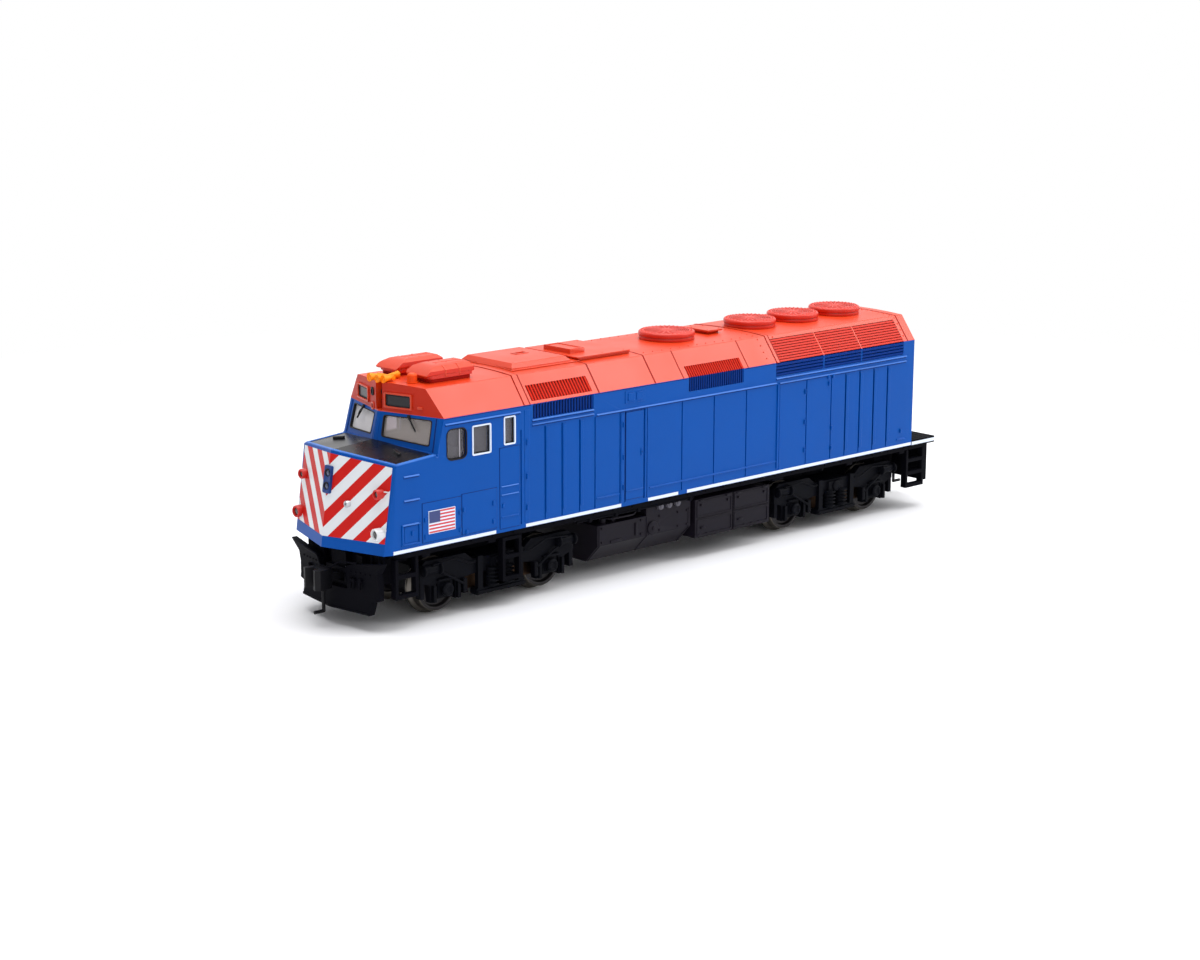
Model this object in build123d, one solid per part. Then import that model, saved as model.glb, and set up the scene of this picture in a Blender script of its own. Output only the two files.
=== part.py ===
# N-gauge model of a four-axle, cab-at-one-end diesel passenger locomotive, in millimetres.
# +X is forward (the nose), +Y is left, +Z is up. The origin lies midway between the two trucks,
# on the plane that the wheel flanges stand on. Heights are worked up from the rail-top plane.
import os
from math import atan2, cos, degrees, hypot, sin

from build123d import *

os.makedirs("parts", exist_ok=True)

# ---- driving dimensions: track and running gear -------------------------------------------------
GAUGE = 9.0               # between the rail heads
BACK_TO_BACK = 7.6        # between the wheel backs
WHEEL_WIDTH = 1.95        # flange and tread together
TREAD_R = 3.175
FLANGE_DEPTH = 0.5        # flange beyond the tread
AXLE_R = 0.75
JOURNAL_R = 0.5           # turned-down axle end
TRUCK_SPACING = 62.86     # centre to centre
WHEELBASE = 17.15         # of one truck
TRUCK_END = 4.0           # axle to the end of the truck's side frames
RUNNING_FIT = 0.05        # radial play of every turning fit
SWING_GAP = 0.55          # least room left beside a swinging truck

# ---- driving dimensions: body -------------------------------------------------------------------
BODY_HALF = 9.35          # half the width over the sides
SILL_RISE = 9.4           # rail top to the lower edge of the body
EAVE_RISE = 25.0          # rail top to the edge between side and roof slope
SLOPE_DZ = 3.4            # height of the roof slope, eave to shoulder
SLOPE_DY = 2.55           # its width, inward
ARCH_RISE = 0.25           # shoulder to the middle of the arched roof
WALL = 1.0                # moulded shell
EDGE_R = 0.25             # rounding along eave and shoulder
REAR_OVERHANG = 1.825     # rear truck's end to the rear wall
CAB_OVERHANG = -2.525     # front truck's end to the cab's front corner at the eave
NOSE_OVERHANG = 7.475     # front truck's end to the nose's top centre
FACE_SWEEP = 0.30         # how far the cab and nose fronts run back for each unit of width
SCREEN_RAKE = 0.25        # how far the windscreen leans back for each unit of height
NOSE_RAKE = 0.155
NOSE_DROP = 3.9           # eave down to the nose's top centre, at its front
NOSE_TOP_PITCH = 0.075    # fall of the nose top towards the front
NOSE_TOP_CROSSFALL = 0.12 # fall of the nose top towards each side
NOSE_CORNER_BACK = 0.95   # bevel on the nose's front corners at the sill, along the side
NOSE_CORNER_IN = 0.4      # and along the front
GROOVE_W = 0.22           # panel joint in the moulding
GROOVE_D = 0.14
GLASS_T = 0.5
GLASS_SET = 0.3           # glazing behind the outer face of the wall
SEAT = 0.02               # glue or snap gap between pieces of one body

# ---- driving dimensions: underframe and fittings ------------------------------------------------
SILL_PLATE_T = 0.8
SILL_INSET = 0.45         # underframe edge behind the body side
PLATFORM_LENGTH = 5.3     # rear platform behind the rear wall
PLATFORM_T = 0.95
STEP_DEPTH = 0.95
STILE_T = 0.45
RUNG_T = 0.5
COUPLER_RISE = 5.55       # rail top to the coupler's centre line
COUPLER_OVERHANG = 11.025 # truck's end to the pulling face of its end's coupler
COUPLER_SHANK_W = 1.3
COUPLER_PIN_R = 0.45
FAN_R = 3.7
FAN_RISE = 1.1           # fan housing above the roof's crown

# ---- worked-out places --------------------------------------------------------------------------
RAIL_Z = FLANGE_DEPTH
AXLE_Z = RAIL_Z + TREAD_R
FLANGE_R = TREAD_R + FLANGE_DEPTH
WHEEL_BACK = BACK_TO_BACK / 2
WHEEL_FACE = WHEEL_BACK + WHEEL_WIDTH
SILL_Z = RAIL_Z + SILL_RISE
EAVE_Z = RAIL_Z + EAVE_RISE
SHOULDER_Z = EAVE_Z + SLOPE_DZ
SHOULDER_HALF = BODY_HALF - SLOPE_DY
CROWN_Z = SHOULDER_Z + ARCH_RISE
SILL_PLATE_Z = SILL_Z - SILL_PLATE_T
FRONT_TRUCK_X = TRUCK_SPACING / 2
REAR_TRUCK_X = -TRUCK_SPACING / 2
TRUCK_HALF = WHEELBASE / 2 + TRUCK_END
REAR_X = REAR_TRUCK_X - TRUCK_HALF - REAR_OVERHANG
CAB_X = FRONT_TRUCK_X + TRUCK_HALF + CAB_OVERHANG
CAB_PEAK_X = CAB_X + FACE_SWEEP * BODY_HALF
NOSE_X = FRONT_TRUCK_X + TRUCK_HALF + NOSE_OVERHANG
NOSE_Z = EAVE_Z - NOSE_DROP
NOSE_TIP_X = NOSE_X + NOSE_RAKE * (NOSE_Z - SILL_Z)
NOSE_SIDE_X = NOSE_TIP_X - FACE_SWEEP * BODY_HALF
FAR = 4 * BODY_HALF       # safely outside the model, for cutting tools
COUPLER_Z = RAIL_Z + COUPLER_RISE


# ---- small makers -------------------------------------------------------------------------------
def block(x0, x1, y0, y1, z0, z1):
    """Box between two corners."""
    middle = Pos((x0 + x1) / 2, (y0 + y1) / 2, (z0 + z1) / 2)
    return middle * Box(x1 - x0, y1 - y0, z1 - z0)


def plate_x(outline, x0, x1):
    """Outline of (y, z) points, solid from x0 to x1."""
    return extrude(Plane.YZ.offset(x0) * make_face(Polyline(*outline, close=True)), x1 - x0)


def plate_y(outline, y0, y1):
    """Outline of (x, z) points, solid from y0 to y1."""
    return extrude(Plane.XZ.offset(-y1) * make_face(Polyline(*outline, close=True)), y1 - y0)


def plate_z(outline, z0, z1):
    """Outline of (x, y) points, solid from z0 to z1."""
    return extrude(Plane.XY.offset(z0) * make_face(Polyline(*outline, close=True)), z1 - z0)


def rod_x(x0, x1, y, z, r):
    return Pos((x0 + x1) / 2, y, z) * Rot(0, 90, 0) * Cylinder(r, x1 - x0)


def rod_y(x, y0, y1, z, r):
    return Pos(x, (y0 + y1) / 2, z) * Rot(90, 0, 0) * Cylinder(r, y1 - y0)


def rod_z(x, y, z0, z1, r):
    return Pos(x, y, (z0 + z1) / 2) * Cylinder(r, z1 - z0)


def other_side(shape):
    return mirror(shape, about=Plane.XZ)


def both_sides(shape):
    return shape + other_side(shape)


def beyond(origin, normal):
    """Everything on the outer side of a plane, as a cutting block."""
    size = 2 * FAR
    return Plane(origin=origin, z_dir=normal) * Box(size, size, size, align=(Align.CENTER, Align.CENTER, Align.MIN))


def facet(x, z, rake, left=1):
    """Plane of one swept-back half of a cab or nose face: x axis outward, z axis forward."""
    return Plane(origin=(x, 0, z), x_dir=(-FACE_SWEEP, left, 0), z_dir=(1, left * FACE_SWEEP, rake))


# ---- body envelope ------------------------------------------------------------------------------
def section(inset, bottom):
    """Cross-section of the body, moved inward by a wall's thickness."""
    lean = atan2(SLOPE_DZ, SLOPE_DY)
    half = BODY_HALF - inset
    eave = EAVE_Z - inset * (1 - cos(lean)) / sin(lean)
    reach = SHOULDER_HALF - inset * (1 - cos(lean)) / sin(lean)
    shoulder = SHOULDER_Z - inset
    sides = Polyline((half, eave), (half, bottom), (-half, bottom), (-half, eave))
    slopes = Line((half, eave), (reach, shoulder)) + Line((-half, eave), (-reach, shoulder))
    crown = ThreePointArc((reach, shoulder), (0, CROWN_Z - inset), (-reach, shoulder))
    face = make_face(sides + slopes + crown)
    rounded = [v for v in face.vertices() if v.Z == 0 and v.Y > bottom + 1]
    return fillet(rounded, EDGE_R)


def nose_corner_cut(left):
    """Plane of the bevel on a front corner of the nose, which widens towards the sill."""
    top_z = NOSE_Z - 0.9
    low = Vector(NOSE_SIDE_X - NOSE_CORNER_BACK, left * BODY_HALF, SILL_Z)
    top = Vector(NOSE_SIDE_X - NOSE_RAKE * (top_z - SILL_Z) - 0.1, left * BODY_HALF, top_z)
    face = Vector(NOSE_SIDE_X + FACE_SWEEP * NOSE_CORNER_IN, left * (BODY_HALF - NOSE_CORNER_IN), SILL_Z)
    return low, ((top - low).cross(face - low) * left).normalized()


def envelope(inset, bottom):
    """Body, cab and nose as one solid, with every outer face moved inward by inset."""
    length = NOSE_TIP_X + 1 - (REAR_X + inset)
    hood = extrude(Plane.YZ.offset(REAR_X + inset) * section(inset, bottom), length)
    above = block(REAR_X - 1, FAR * 2, -FAR, FAR, EAVE_Z, CROWN_Z + 1)
    middle = block(REAR_X - 1, FAR * 2, -FAR, FAR, bottom, EAVE_Z)
    low = block(CAB_X, FAR * 2, -FAR, FAR, bottom, EAVE_Z)
    forehead = hood & above
    cab = hood & middle
    nose = hood & low
    for left in (1, -1):
        brow = facet(CAB_PEAK_X, EAVE_Z, 0, left)
        screen = facet(CAB_PEAK_X, EAVE_Z, SCREEN_RAKE, left)
        front = facet(NOSE_X, NOSE_Z, NOSE_RAKE, left)
        deck_normal = Vector(NOSE_TOP_PITCH, left * NOSE_TOP_CROSSFALL, 1).normalized()
        deck = Vector(NOSE_X, 0, NOSE_Z) - deck_normal * inset
        forehead -= beyond(brow.origin - brow.z_dir * inset, brow.z_dir)
        cab -= beyond(screen.origin - screen.z_dir * inset, screen.z_dir)
        nose -= beyond(front.origin - front.z_dir * inset, front.z_dir)
        nose -= beyond(deck, deck_normal)
        cut, cut_normal = nose_corner_cut(left)
        nose -= beyond(cut - cut_normal * inset, cut_normal)
    return forehead + cab + nose


# ---- openings and relief of the shell -----------------------------------------------------------
CAB_REAR_X = FRONT_TRUCK_X - 2.1       # seam between the cab and the machine room
CAB_DOOR = (FRONT_TRUCK_X - 2.1, FRONT_TRUCK_X + 1.6)
DOOR_WINDOW = (FRONT_TRUCK_X - 0.27, EAVE_Z - 2.8, 1.65, 3.35, 0.15)
REAR_WINDOW = (FRONT_TRUCK_X + 4.22, EAVE_Z - 3.32, 2.75, 3.5, 0.15)
FRONT_WINDOW = (FRONT_TRUCK_X + 8.13, EAVE_Z - 3.35, 3.1, 3.8, 0.75)
SCREEN_IN = 0.95          # inner edge of a windscreen pane from the centre post's line
SCREEN_OUT = 8.05
SCREEN_TOP = -0.45        # below the eave, along the face
SCREEN_LOW_IN = -3.0
SCREEN_LOW_OUT = -3.5
BOARD_LEFT = (1.3, 4.8)   # number boards, from the centre line outward along the brow
BOARD_RIGHT = (3.4, 6.6)
BOARD_LOW, BOARD_HIGH = 0.85, 2.15
BOARD_D = 0.3
RECESS_HALF = 0.62        # upright lamp recess in the middle of the brow
RECESS_D = 1.1
LOUVRE_D = 0.3
LOUVRE_LOW = EAVE_Z - 1.9 # lower edge of the blue half of every intake grille
SEAM_LOW = SILL_Z + 0.55
SEAM_HIGH = EAVE_Z - 3.0


def side_window(x, z, width, height, radius):
    """Rounded window opening cut straight through both cab walls."""
    shape = Plane.XZ.offset(-FAR) * Pos(x, z) * RectangleRounded(width, height, radius)
    return extrude(shape, 2 * FAR)


def screen_outline(grow):
    return [
        (SCREEN_IN - grow, SCREEN_TOP + grow),
        (SCREEN_OUT + grow, SCREEN_TOP + grow),
        (SCREEN_OUT + grow, SCREEN_LOW_OUT - grow),
        (SCREEN_IN - grow, SCREEN_LOW_IN - grow),
    ]


def screen_pane(grow, front, back):
    """Windscreen pane or its opening, from front to back of the screen's plane."""
    plane = facet(CAB_PEAK_X, EAVE_Z, SCREEN_RAKE).offset(-back)
    face = fillet(make_face(Polyline(*screen_outline(grow), close=True)).vertices(), 0.35)
    return extrude(plane * face, back - front)


def brow_panel(span, low, high, front, back):
    """Upright rectangle on the left half of the brow."""
    plane = facet(CAB_PEAK_X, EAVE_Z, 0).offset(-back)
    width, height = span[1] - span[0], high - low
    middle = Pos((span[0] + span[1]) / 2, (low + high) / 2)
    return extrude(plane * middle * RectangleRounded(width, height, 0.2), back - front)


def slope_pocket(x0, x1, top_share):
    """Shallow pocket over the roof slope and the top of the side, for an intake grille."""
    lean = atan2(SLOPE_DZ, SLOPE_DY)
    run = hypot(SLOPE_DY, SLOPE_DZ) * top_share
    upper = extrude(
        Plane(origin=((x0 + x1) / 2, BODY_HALF, EAVE_Z), x_dir=(1, 0, 0), z_dir=(0, sin(lean), cos(lean)))
        * Pos(0, -run / 2) * Rectangle(x1 - x0, run), LOUVRE_D, both=True)
    lower = block(x0, x1, BODY_HALF - LOUVRE_D, BODY_HALF + 1, LOUVRE_LOW, EAVE_Z)
    return upper + lower


FRONT_GRILLE = (FRONT_TRUCK_X - 14.3, FRONT_TRUCK_X - 4.1)
MIDDLE_GRILLE = (-10.3, 0.1)
RADIATOR_BAYS = [(REAR_TRUCK_X + 5.15, REAR_TRUCK_X + 14.75), (REAR_TRUCK_X - 2.8, REAR_TRUCK_X + 4.95),
                 (REAR_TRUCK_X - 12.0, REAR_TRUCK_X - 3.0)]
FRONT_SEAMS = [FRONT_TRUCK_X + dx for dx in (-2.1, -6.06, -8.9, -11.9, -14.55)]
MIDDLE_SEAMS = [12.5, 11.6, 8.2, 7.7, 1.3, -4.7, -10.9]
REAR_SEAMS = [REAR_TRUCK_X + dx for dx in (14.0, 8.5, 3.4, 0.4, -2.6, -5.6, -8.6)]


def body_shell():
    shell = envelope(0, SILL_Z) - envelope(WALL, SILL_Z - 1)
    for x, z, width, height, radius in (DOOR_WINDOW, REAR_WINDOW, FRONT_WINDOW):
        shell -= side_window(x, z, width, height, radius)
    shell -= both_sides(screen_pane(0, -1, 2 * WALL))
    shell -= brow_panel(BOARD_LEFT, BOARD_LOW, BOARD_HIGH, -1, BOARD_D)
    shell -= other_side(brow_panel(BOARD_RIGHT, BOARD_LOW, BOARD_HIGH, -1, BOARD_D))
    recess = block(CAB_PEAK_X - RECESS_D, CAB_PEAK_X + 1, -RECESS_HALF, RECESS_HALF, EAVE_Z + 0.15, CROWN_Z + 1)
    collar = block(CAB_PEAK_X - RECESS_D - WALL, CAB_PEAK_X - RECESS_D, -RECESS_HALF - WALL, RECESS_HALF + WALL,
                   EAVE_Z, CROWN_Z - WALL / 2)
    shell = shell + (collar & envelope(WALL / 2, SILL_Z)) - recess
    shell -= both_sides(slope_pocket(*FRONT_GRILLE, 0.62))
    shell -= both_sides(slope_pocket(*MIDDLE_GRILLE, 0.4))
    for bay in RADIATOR_BAYS:
        shell -= both_sides(slope_pocket(*bay, 0.86))
    for x in FRONT_SEAMS + MIDDLE_SEAMS + REAR_SEAMS:
        groove = block(x - GROOVE_W / 2, x + GROOVE_W / 2, BODY_HALF - GROOVE_D, BODY_HALF + 1, SEAM_LOW, SEAM_HIGH)
        shell -= both_sides(groove)
    return shell


# ---- glazing and roof fittings ------------------------------------------------------------------
def windscreen():
    return both_sides(screen_pane(-SEAT, GLASS_SET, GLASS_SET + GLASS_T))


def cab_glass(left):
    """Three side panes, set into one wall."""
    panes = None
    for x, z, width, height, radius in (DOOR_WINDOW, REAR_WINDOW, FRONT_WINDOW):
        grow = -2 * SEAT
        face = Plane.XZ.offset(-(BODY_HALF - GLASS_SET)) * Pos(x, z) * RectangleRounded(
            width + grow, height + grow, radius)
        pane = extrude(face, GLASS_T)
        panes = pane if panes is None else panes + pane
    return panes if left else other_side(panes)


def number_board(left):
    span = BOARD_LEFT if left else BOARD_RIGHT
    inner = (span[0] + SEAT, span[1] - SEAT)
    board = brow_panel(inner, BOARD_LOW + SEAT, BOARD_HIGH - SEAT, SEAT, BOARD_D - SEAT)
    return board if left else other_side(board)


def roof_height(y):
    """Height of the arched roof at a distance from the centre line."""
    rise = CROWN_Z - SHOULDER_Z
    radius = (SHOULDER_HALF ** 2 + rise ** 2) / (2 * rise)
    return CROWN_Z - radius + (radius ** 2 - y ** 2) ** 0.5


def seated(shape):
    """Trim a roof fitting's foot to the roof's arch, a seat's gap above it."""
    return shape - Pos(0, 0, SEAT) * envelope(0, SILL_Z)


FAN_X = [REAR_TRUCK_X + 26.65, REAR_TRUCK_X + 10.4, REAR_TRUCK_X + 1.6, REAR_TRUCK_X - 7.2]


def roof_fan(x, radius):
    """Round fan housing: foot, neck, bulging rim, and a well for the guard rings."""
    top = CROWN_Z + FAN_RISE
    foot = rod_z(x, 0, SHOULDER_Z - 0.4, CROWN_Z + 0.38, radius - 0.08)
    neck = rod_z(x, 0, SHOULDER_Z - 0.4, top - 0.3, radius - 0.2)
    rim = rod_z(x, 0, top - 0.6, top, radius)
    rim = fillet(rim.edges().group_by(Axis.Z)[-1], 0.3)
    well = rod_z(x, 0, top - 0.5, top + 1, radius - 0.75)
    hub = rod_z(x, 0, top - 0.6, top - 0.05, 0.75)
    return seated(foot + neck + rim - well + hub)


def air_conditioner(left):
    """Hood that curves down at its front, over a recessed foot; one each side of the cab roof."""
    x0, x1 = CAB_X - 8.3, CAB_X - 0.7
    y0, y1 = 0.85, 5.1
    low, top = CROWN_Z + 0.7, CROWN_Z + 1.95
    end = [(y0 + 0.3, low), (y1 - 0.2, low), (y1, low + 0.15), (y1 - 0.05, low + 0.6), (y1 - 0.7, top - 0.15),
           (y1 - 1.3, top), (y0 + 0.8, top), (y0 + 0.1, top - 0.35), (y0, low + 0.4)]
    brow = [(x0 + 0.1, low - 0.1), (x0, low + 0.3), (x0 + 0.2, top - 0.3), (x0 + 0.6, top + 0.1), (x1 - 2.5, top + 0.1),
            (x1 - 1.75, top - 0.14), (x1 - 1.05, top - 0.42), (x1 - 0.5, top - 0.76), (x1 - 0.1, low + 0.16),
            (x1 - 0.1, low - 0.1)]
    hood = plate_x(end, x0, x1) & plate_y(brow, 0, y1 + 1)
    foot = block(x0 + 0.4, x1 - 0.9, y0 + 0.35, y1 - 0.4, CROWN_Z - 0.9, low + 0.1)
    pod = seated(hood + foot)
    return pod if left else other_side(pod)


def horns():
    """Cluster of five trumpets on a manifold bar, in the middle of the cab roof's front."""
    x = CAB_X + 1.5
    z = CROWN_Z + 0.3
    cluster = block(x - 0.5, x + 0.1, -0.8, 0.2, CROWN_Z - 0.5, z)
    cluster += rod_y(x - 0.2, -1.9, 1.3, z + 0.1, 0.28)
    trumpets = ((-1.6, 1.5, 1), (-0.95, 2.0, 1), (-0.3, 1.8, -1), (0.35, 1.8, 1), (1.0, 1.4, 1))
    for y, length, facing in trumpets:
        bell = Cone(0.16, 0.46, length, align=(Align.CENTER, Align.CENTER, Align.MIN))
        cluster += Pos(x - 0.2, y, z + 0.1) * Rot(0, 90 * facing, 0) * bell
    return seated(cluster)


def beacon():
    """Small orange dome on a round foot."""
    x, y = CAB_X - 0.1, 3.1
    dome = rod_z(x, y, SHOULDER_Z - 0.3, CROWN_Z + 1.1, 0.62)
    dome = fillet(dome.edges().group_by(Axis.Z)[-1], 0.35)
    return seated(dome + rod_z(x, y, SHOULDER_Z - 0.3, CROWN_Z + 0.05, 0.8))


def roof_panel(x0, x1, half, thick):
    """Raised hatch plate that follows the arch of the roof."""
    plate = block(x0, x1, -half, half, SHOULDER_Z - 0.5, CROWN_Z + 1)
    raised = Pos(0, 0, thick) * envelope(0, SILL_Z)
    return seated(plate & raised)


HATCH_X = FRONT_TRUCK_X - 15.6         # joint between the two machine-room hatches


def front_hatch():
    """Hatch over the alternator room: thin base plate, flat-topped lid with sloping sides, slot in its top."""
    x0, x1 = HATCH_X + SEAT, FRONT_TRUCK_X - 4.3
    lid = block(x0 + 1.3, x1 - 0.1, -4.95, 4.95, SHOULDER_Z - 0.5, CROWN_Z + 0.72)
    lid = chamfer(lid.edges().group_by(Axis.Z)[-1], 0.55)
    hatch = roof_panel(x0, x1, 5.3, 0.12) + seated(lid)
    return hatch - block(x0 + 4.1, x0 + 5.8, -1.2, -0.4, CROWN_Z + 0.5, CROWN_Z + 1)


def engine_hatch():
    """Thick flat hatch over the engine with the low exhaust box across its front."""
    x0, x1 = HATCH_X - 9.0, HATCH_X - SEAT
    plate = block(x0, x1, -5.0, 5.0, SHOULDER_Z - 0.5, CROWN_Z + 0.28)
    box = block(x1 - 3.2, x1 - 0.7, -2.65, 2.65, CROWN_Z - 0.3, CROWN_Z + 0.9)
    return seated(plate + box)


def roof_plate():
    """Thin cover plate between two fans, overhanging its low foot."""
    x0, x1 = REAR_TRUCK_X + 17.8, REAR_TRUCK_X + 20.7
    foot = block(x0 + 0.35, x1 - 0.35, -1.5, 1.5, SHOULDER_Z - 0.5, CROWN_Z + 0.4)
    return seated(foot + block(x0, x1, -1.95, 1.95, CROWN_Z + 0.32, CROWN_Z + 0.58))


# ---- nose fittings ------------------------------------------------------------------------------
def nose_point(u, v, left=1):
    """Frame on the nose face: u outward from the crease, v up from the nose's top centre."""
    return facet(NOSE_X, NOSE_Z, NOSE_RAKE, left) * Pos(u, v * left)


def nose_headlight():
    """Upright box with rounded corners astride the nose's crease, with two lamp wells."""
    ridge = Plane(origin=(NOSE_X, 0, NOSE_Z), x_dir=(0, 1, 0), z_dir=(1, 0, NOSE_RAKE))
    spot = ridge * Pos(0, -3.55)
    body = extrude(spot * RectangleRounded(1.35, 3.4, 0.25), 0.2)
    body += extrude(spot * RectangleRounded(1.35, 3.4, 0.25), -0.6)
    for dv in (0.8, -0.8):
        well = ridge.offset(0.05) * Pos(0, -3.55 + dv)
        body -= extrude(well * Circle(0.5), 1)
    return body - Pos(SEAT, 0, 0) * envelope(0, SILL_Z)


def nose_lamps():
    """Two hooded marker lamps above and two boxed ditch lamps below, one of each a side."""
    lamps = None
    for left in (1, -1):
        hood = extrude(nose_point(7.75, -4.4, left) * Circle(0.7), 0.8)
        hood -= extrude(nose_point(7.75, -4.4, left) * Pos(0, 0, 0.35) * Circle(0.45), 1)
        box = extrude(nose_point(8.0, -9.2, left) * RectangleRounded(1.5, 1.5, 0.25), 0.75)
        box -= extrude(nose_point(8.0, -9.2, left) * Pos(0, 0, 0.4) * Circle(0.5), 1)
        for lamp in (hood, box):
            lamp = Pos(SEAT, 0, 0) * lamp
            lamps = lamp if lamps is None else lamps + lamp
    return lamps


def wipers():
    """Wiper arm and blade on each windscreen pane, pivoted below the eave."""
    plane = facet(CAB_PEAK_X, EAVE_Z, SCREEN_RAKE)
    start, end = Vector(4.7, -0.35), Vector(5.95, -1.95)
    arm = end - start
    turn = degrees(atan2(arm.Y, arm.X))
    middle = (start + end) * 0.5
    blade = extrude(plane * Pos(middle.X, middle.Y, 0.05) * Rot(0, 0, turn) * Rectangle(arm.length, 0.16), 0.16)
    boss = extrude(plane * Pos(start.X, start.Y + 0.1, SEAT) * Circle(0.2), 0.22)
    return both_sides(blade + boss)


# ---- chassis ------------------------------------------------------------------------------------
SILL_HALF = BODY_HALF - SILL_INSET
SIDE_IN = WHEEL_FACE + 0.6             # inner face of a side frame
SIDE_T = 1.0
SIDE_OUT = SIDE_IN + SIDE_T
PIVOT_R = 3.0
PIVOT_PAD_R = 3.9
PIVOT_TOP = SILL_Z + 1.2
UNDER_FRONT_X = NOSE_SIDE_X - 3.4
WEIGHT_CLEAR = 0.35                    # around the heavy block, inside the shell
HOOD_WEIGHT_TOP = SHOULDER_Z - 1.5
CAB_WEIGHT_TOP = NOSE_Z - 3.5


def underframe():
    """Sill plate under the body, with a bearing hole for each truck and a nose shelf."""
    outline = [(REAR_X, SILL_HALF), (UNDER_FRONT_X, SILL_HALF), (UNDER_FRONT_X + 2.0, SILL_HALF - 1.0),
               (UNDER_FRONT_X + 2.0, -SILL_HALF + 1.0), (UNDER_FRONT_X, -SILL_HALF), (REAR_X, -SILL_HALF)]
    plate = plate_z(outline, SILL_PLATE_Z, SILL_Z - SEAT)
    for x in (FRONT_TRUCK_X, REAR_TRUCK_X):
        plate -= rod_z(x, 0, SILL_PLATE_Z - 1, SILL_Z + 1, PIVOT_R + RUNNING_FIT)
    return plate


def chassis_weight():
    """Die-cast block with the motor in it, stepped down under the cab."""
    half = BODY_HALF - WALL - WEIGHT_CLEAR
    x0 = REAR_X + WALL + WEIGHT_CLEAR
    x1 = CAB_REAR_X - 0.6
    x2 = NOSE_SIDE_X - 2.6
    outline = [(x0, SILL_Z), (x2, SILL_Z), (x2, CAB_WEIGHT_TOP), (x1, CAB_WEIGHT_TOP), (x1, HOOD_WEIGHT_TOP),
               (x0, HOOD_WEIGHT_TOP)]
    casting = plate_y(outline, -half, half)
    casting = chamfer(casting.edges().filter_by(Axis.X).group_by(Axis.Z)[-1], SLOPE_DZ, SLOPE_DY + 0.2)
    for x in (FRONT_TRUCK_X, REAR_TRUCK_X):
        casting -= rod_z(x, 0, SILL_Z - 1, PIVOT_TOP + 0.3, PIVOT_R + RUNNING_FIT)
    return casting


def rear_platform():
    """Deck across the rear end with its edge strip."""
    x0, x1 = REAR_X - PLATFORM_LENGTH, REAR_X - SEAT
    deck = block(x0, x1, -BODY_HALF, BODY_HALF, SILL_Z - 0.25, SILL_Z - 0.25 + PLATFORM_T)
    beam = block(x0 + 1.4, x1, -SILL_HALF, SILL_HALF, SILL_PLATE_Z, SILL_Z)
    return deck + beam


TANK_X = (FRONT_TRUCK_X - 33.2, FRONT_TRUCK_X - 16.25)
BOX_X = (REAR_TRUCK_X + 14.6, FRONT_TRUCK_X - 33.8)
TANK_HALF = BODY_HALF - 1.35
TANK_LOW = RAIL_Z + 1.9


def fuel_tank():
    """Tank with bevelled lower edges; its rear part stands higher than its front part."""
    x0, x1 = TANK_X
    half, low = TANK_HALF, TANK_LOW
    front_top, rear_top = RAIL_Z + 7.0, RAIL_Z + 8.1
    outline = [(half, rear_top), (half, low + 2.4), (half - 2.3, low), (-half + 2.3, low), (-half, low + 2.4),
               (-half, rear_top)]
    tank = plate_x(outline, x0, x1)
    tank -= block(x0 + 8.2, x1 + 1, -FAR, FAR, front_top, rear_top + 1)
    hanger = block(x0 + 0.8, x1 - 1.6, -half + 3.2, half - 3.2, front_top - 1, SILL_PLATE_Z - SEAT)
    cap = both_sides(rod_y(x0 + 7.1, half - 0.2, half + 0.3, RAIL_Z + 5.2, 0.7))
    return tank + hanger + cap


def equipment_box():
    """Battery and air-valve lockers behind the tank: two doors a side, each with a raised rim."""
    x0, x1 = BOX_X
    half = BODY_HALF - 1.0
    low, top = RAIL_Z + 2.5, RAIL_Z + 7.8
    box = block(x0, x1, -half, half, low, top)
    middle = (x0 + x1) / 2
    for a, b in ((x0 + 0.3, middle - 0.15), (middle + 0.15, x1 - 0.3)):
        box -= both_sides(block(a, b, half - 0.12, half + 1, low + 2.6, low + 2.75))
    box -= both_sides(block(middle - 0.15, middle + 0.15, half - 0.2, half + 1, low, top))
    hanger = block(x0 + 1, x1 - 1, -half + 2.5, half - 2.5, top - 0.5, SILL_PLATE_Z - SEAT)
    return box + hanger


def ladder(x0, x1, y_in, low, rungs):
    """Step well: two stiles with flat rungs between, hung from the sill on the left side."""
    top = SILL_PLATE_Z - SEAT
    y_out = y_in + STEP_DEPTH
    steps = block(x0, x0 + STILE_T, y_in, y_out, low, top) + block(x1 - STILE_T, x1, y_in, y_out, low, top)
    pitch = (top - low) / rungs
    for n in range(rungs):
        steps += block(x0, x1, y_in, y_out, low + n * pitch, low + n * pitch + RUNG_T)
    return steps


CAB_STEP_X = (FRONT_TRUCK_X - 2.3, FRONT_TRUCK_X + 0.8)
STEP_IN = max(SIDE_OUT + SWING_GAP, BODY_HALF - 1.15)
FRONT_STEP_X = FRONT_TRUCK_X + TRUCK_HALF + 1.35
REAR_STEP_X = REAR_TRUCK_X - TRUCK_HALF - 1.35
CORNER_IN = SILL_HALF - STEP_DEPTH


def cab_steps(left):
    steps = ladder(*CAB_STEP_X, STEP_IN, RAIL_Z + 3.0, 2)
    hook = block(*CAB_STEP_X, SILL_HALF - 1.2, STEP_IN + STEP_DEPTH, SILL_PLATE_Z - 0.45, SILL_PLATE_Z - SEAT)
    steps += hook
    return steps if left else other_side(steps)


def corner_steps(front, left):
    if front:
        steps = ladder(FRONT_STEP_X, FRONT_STEP_X + 3.5, CORNER_IN, RAIL_Z + 3.6, 2)
    else:
        steps = ladder(REAR_STEP_X - 4.0, REAR_STEP_X, CORNER_IN, RAIL_Z + 2.9, 3)
    return steps if left else other_side(steps)


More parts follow.
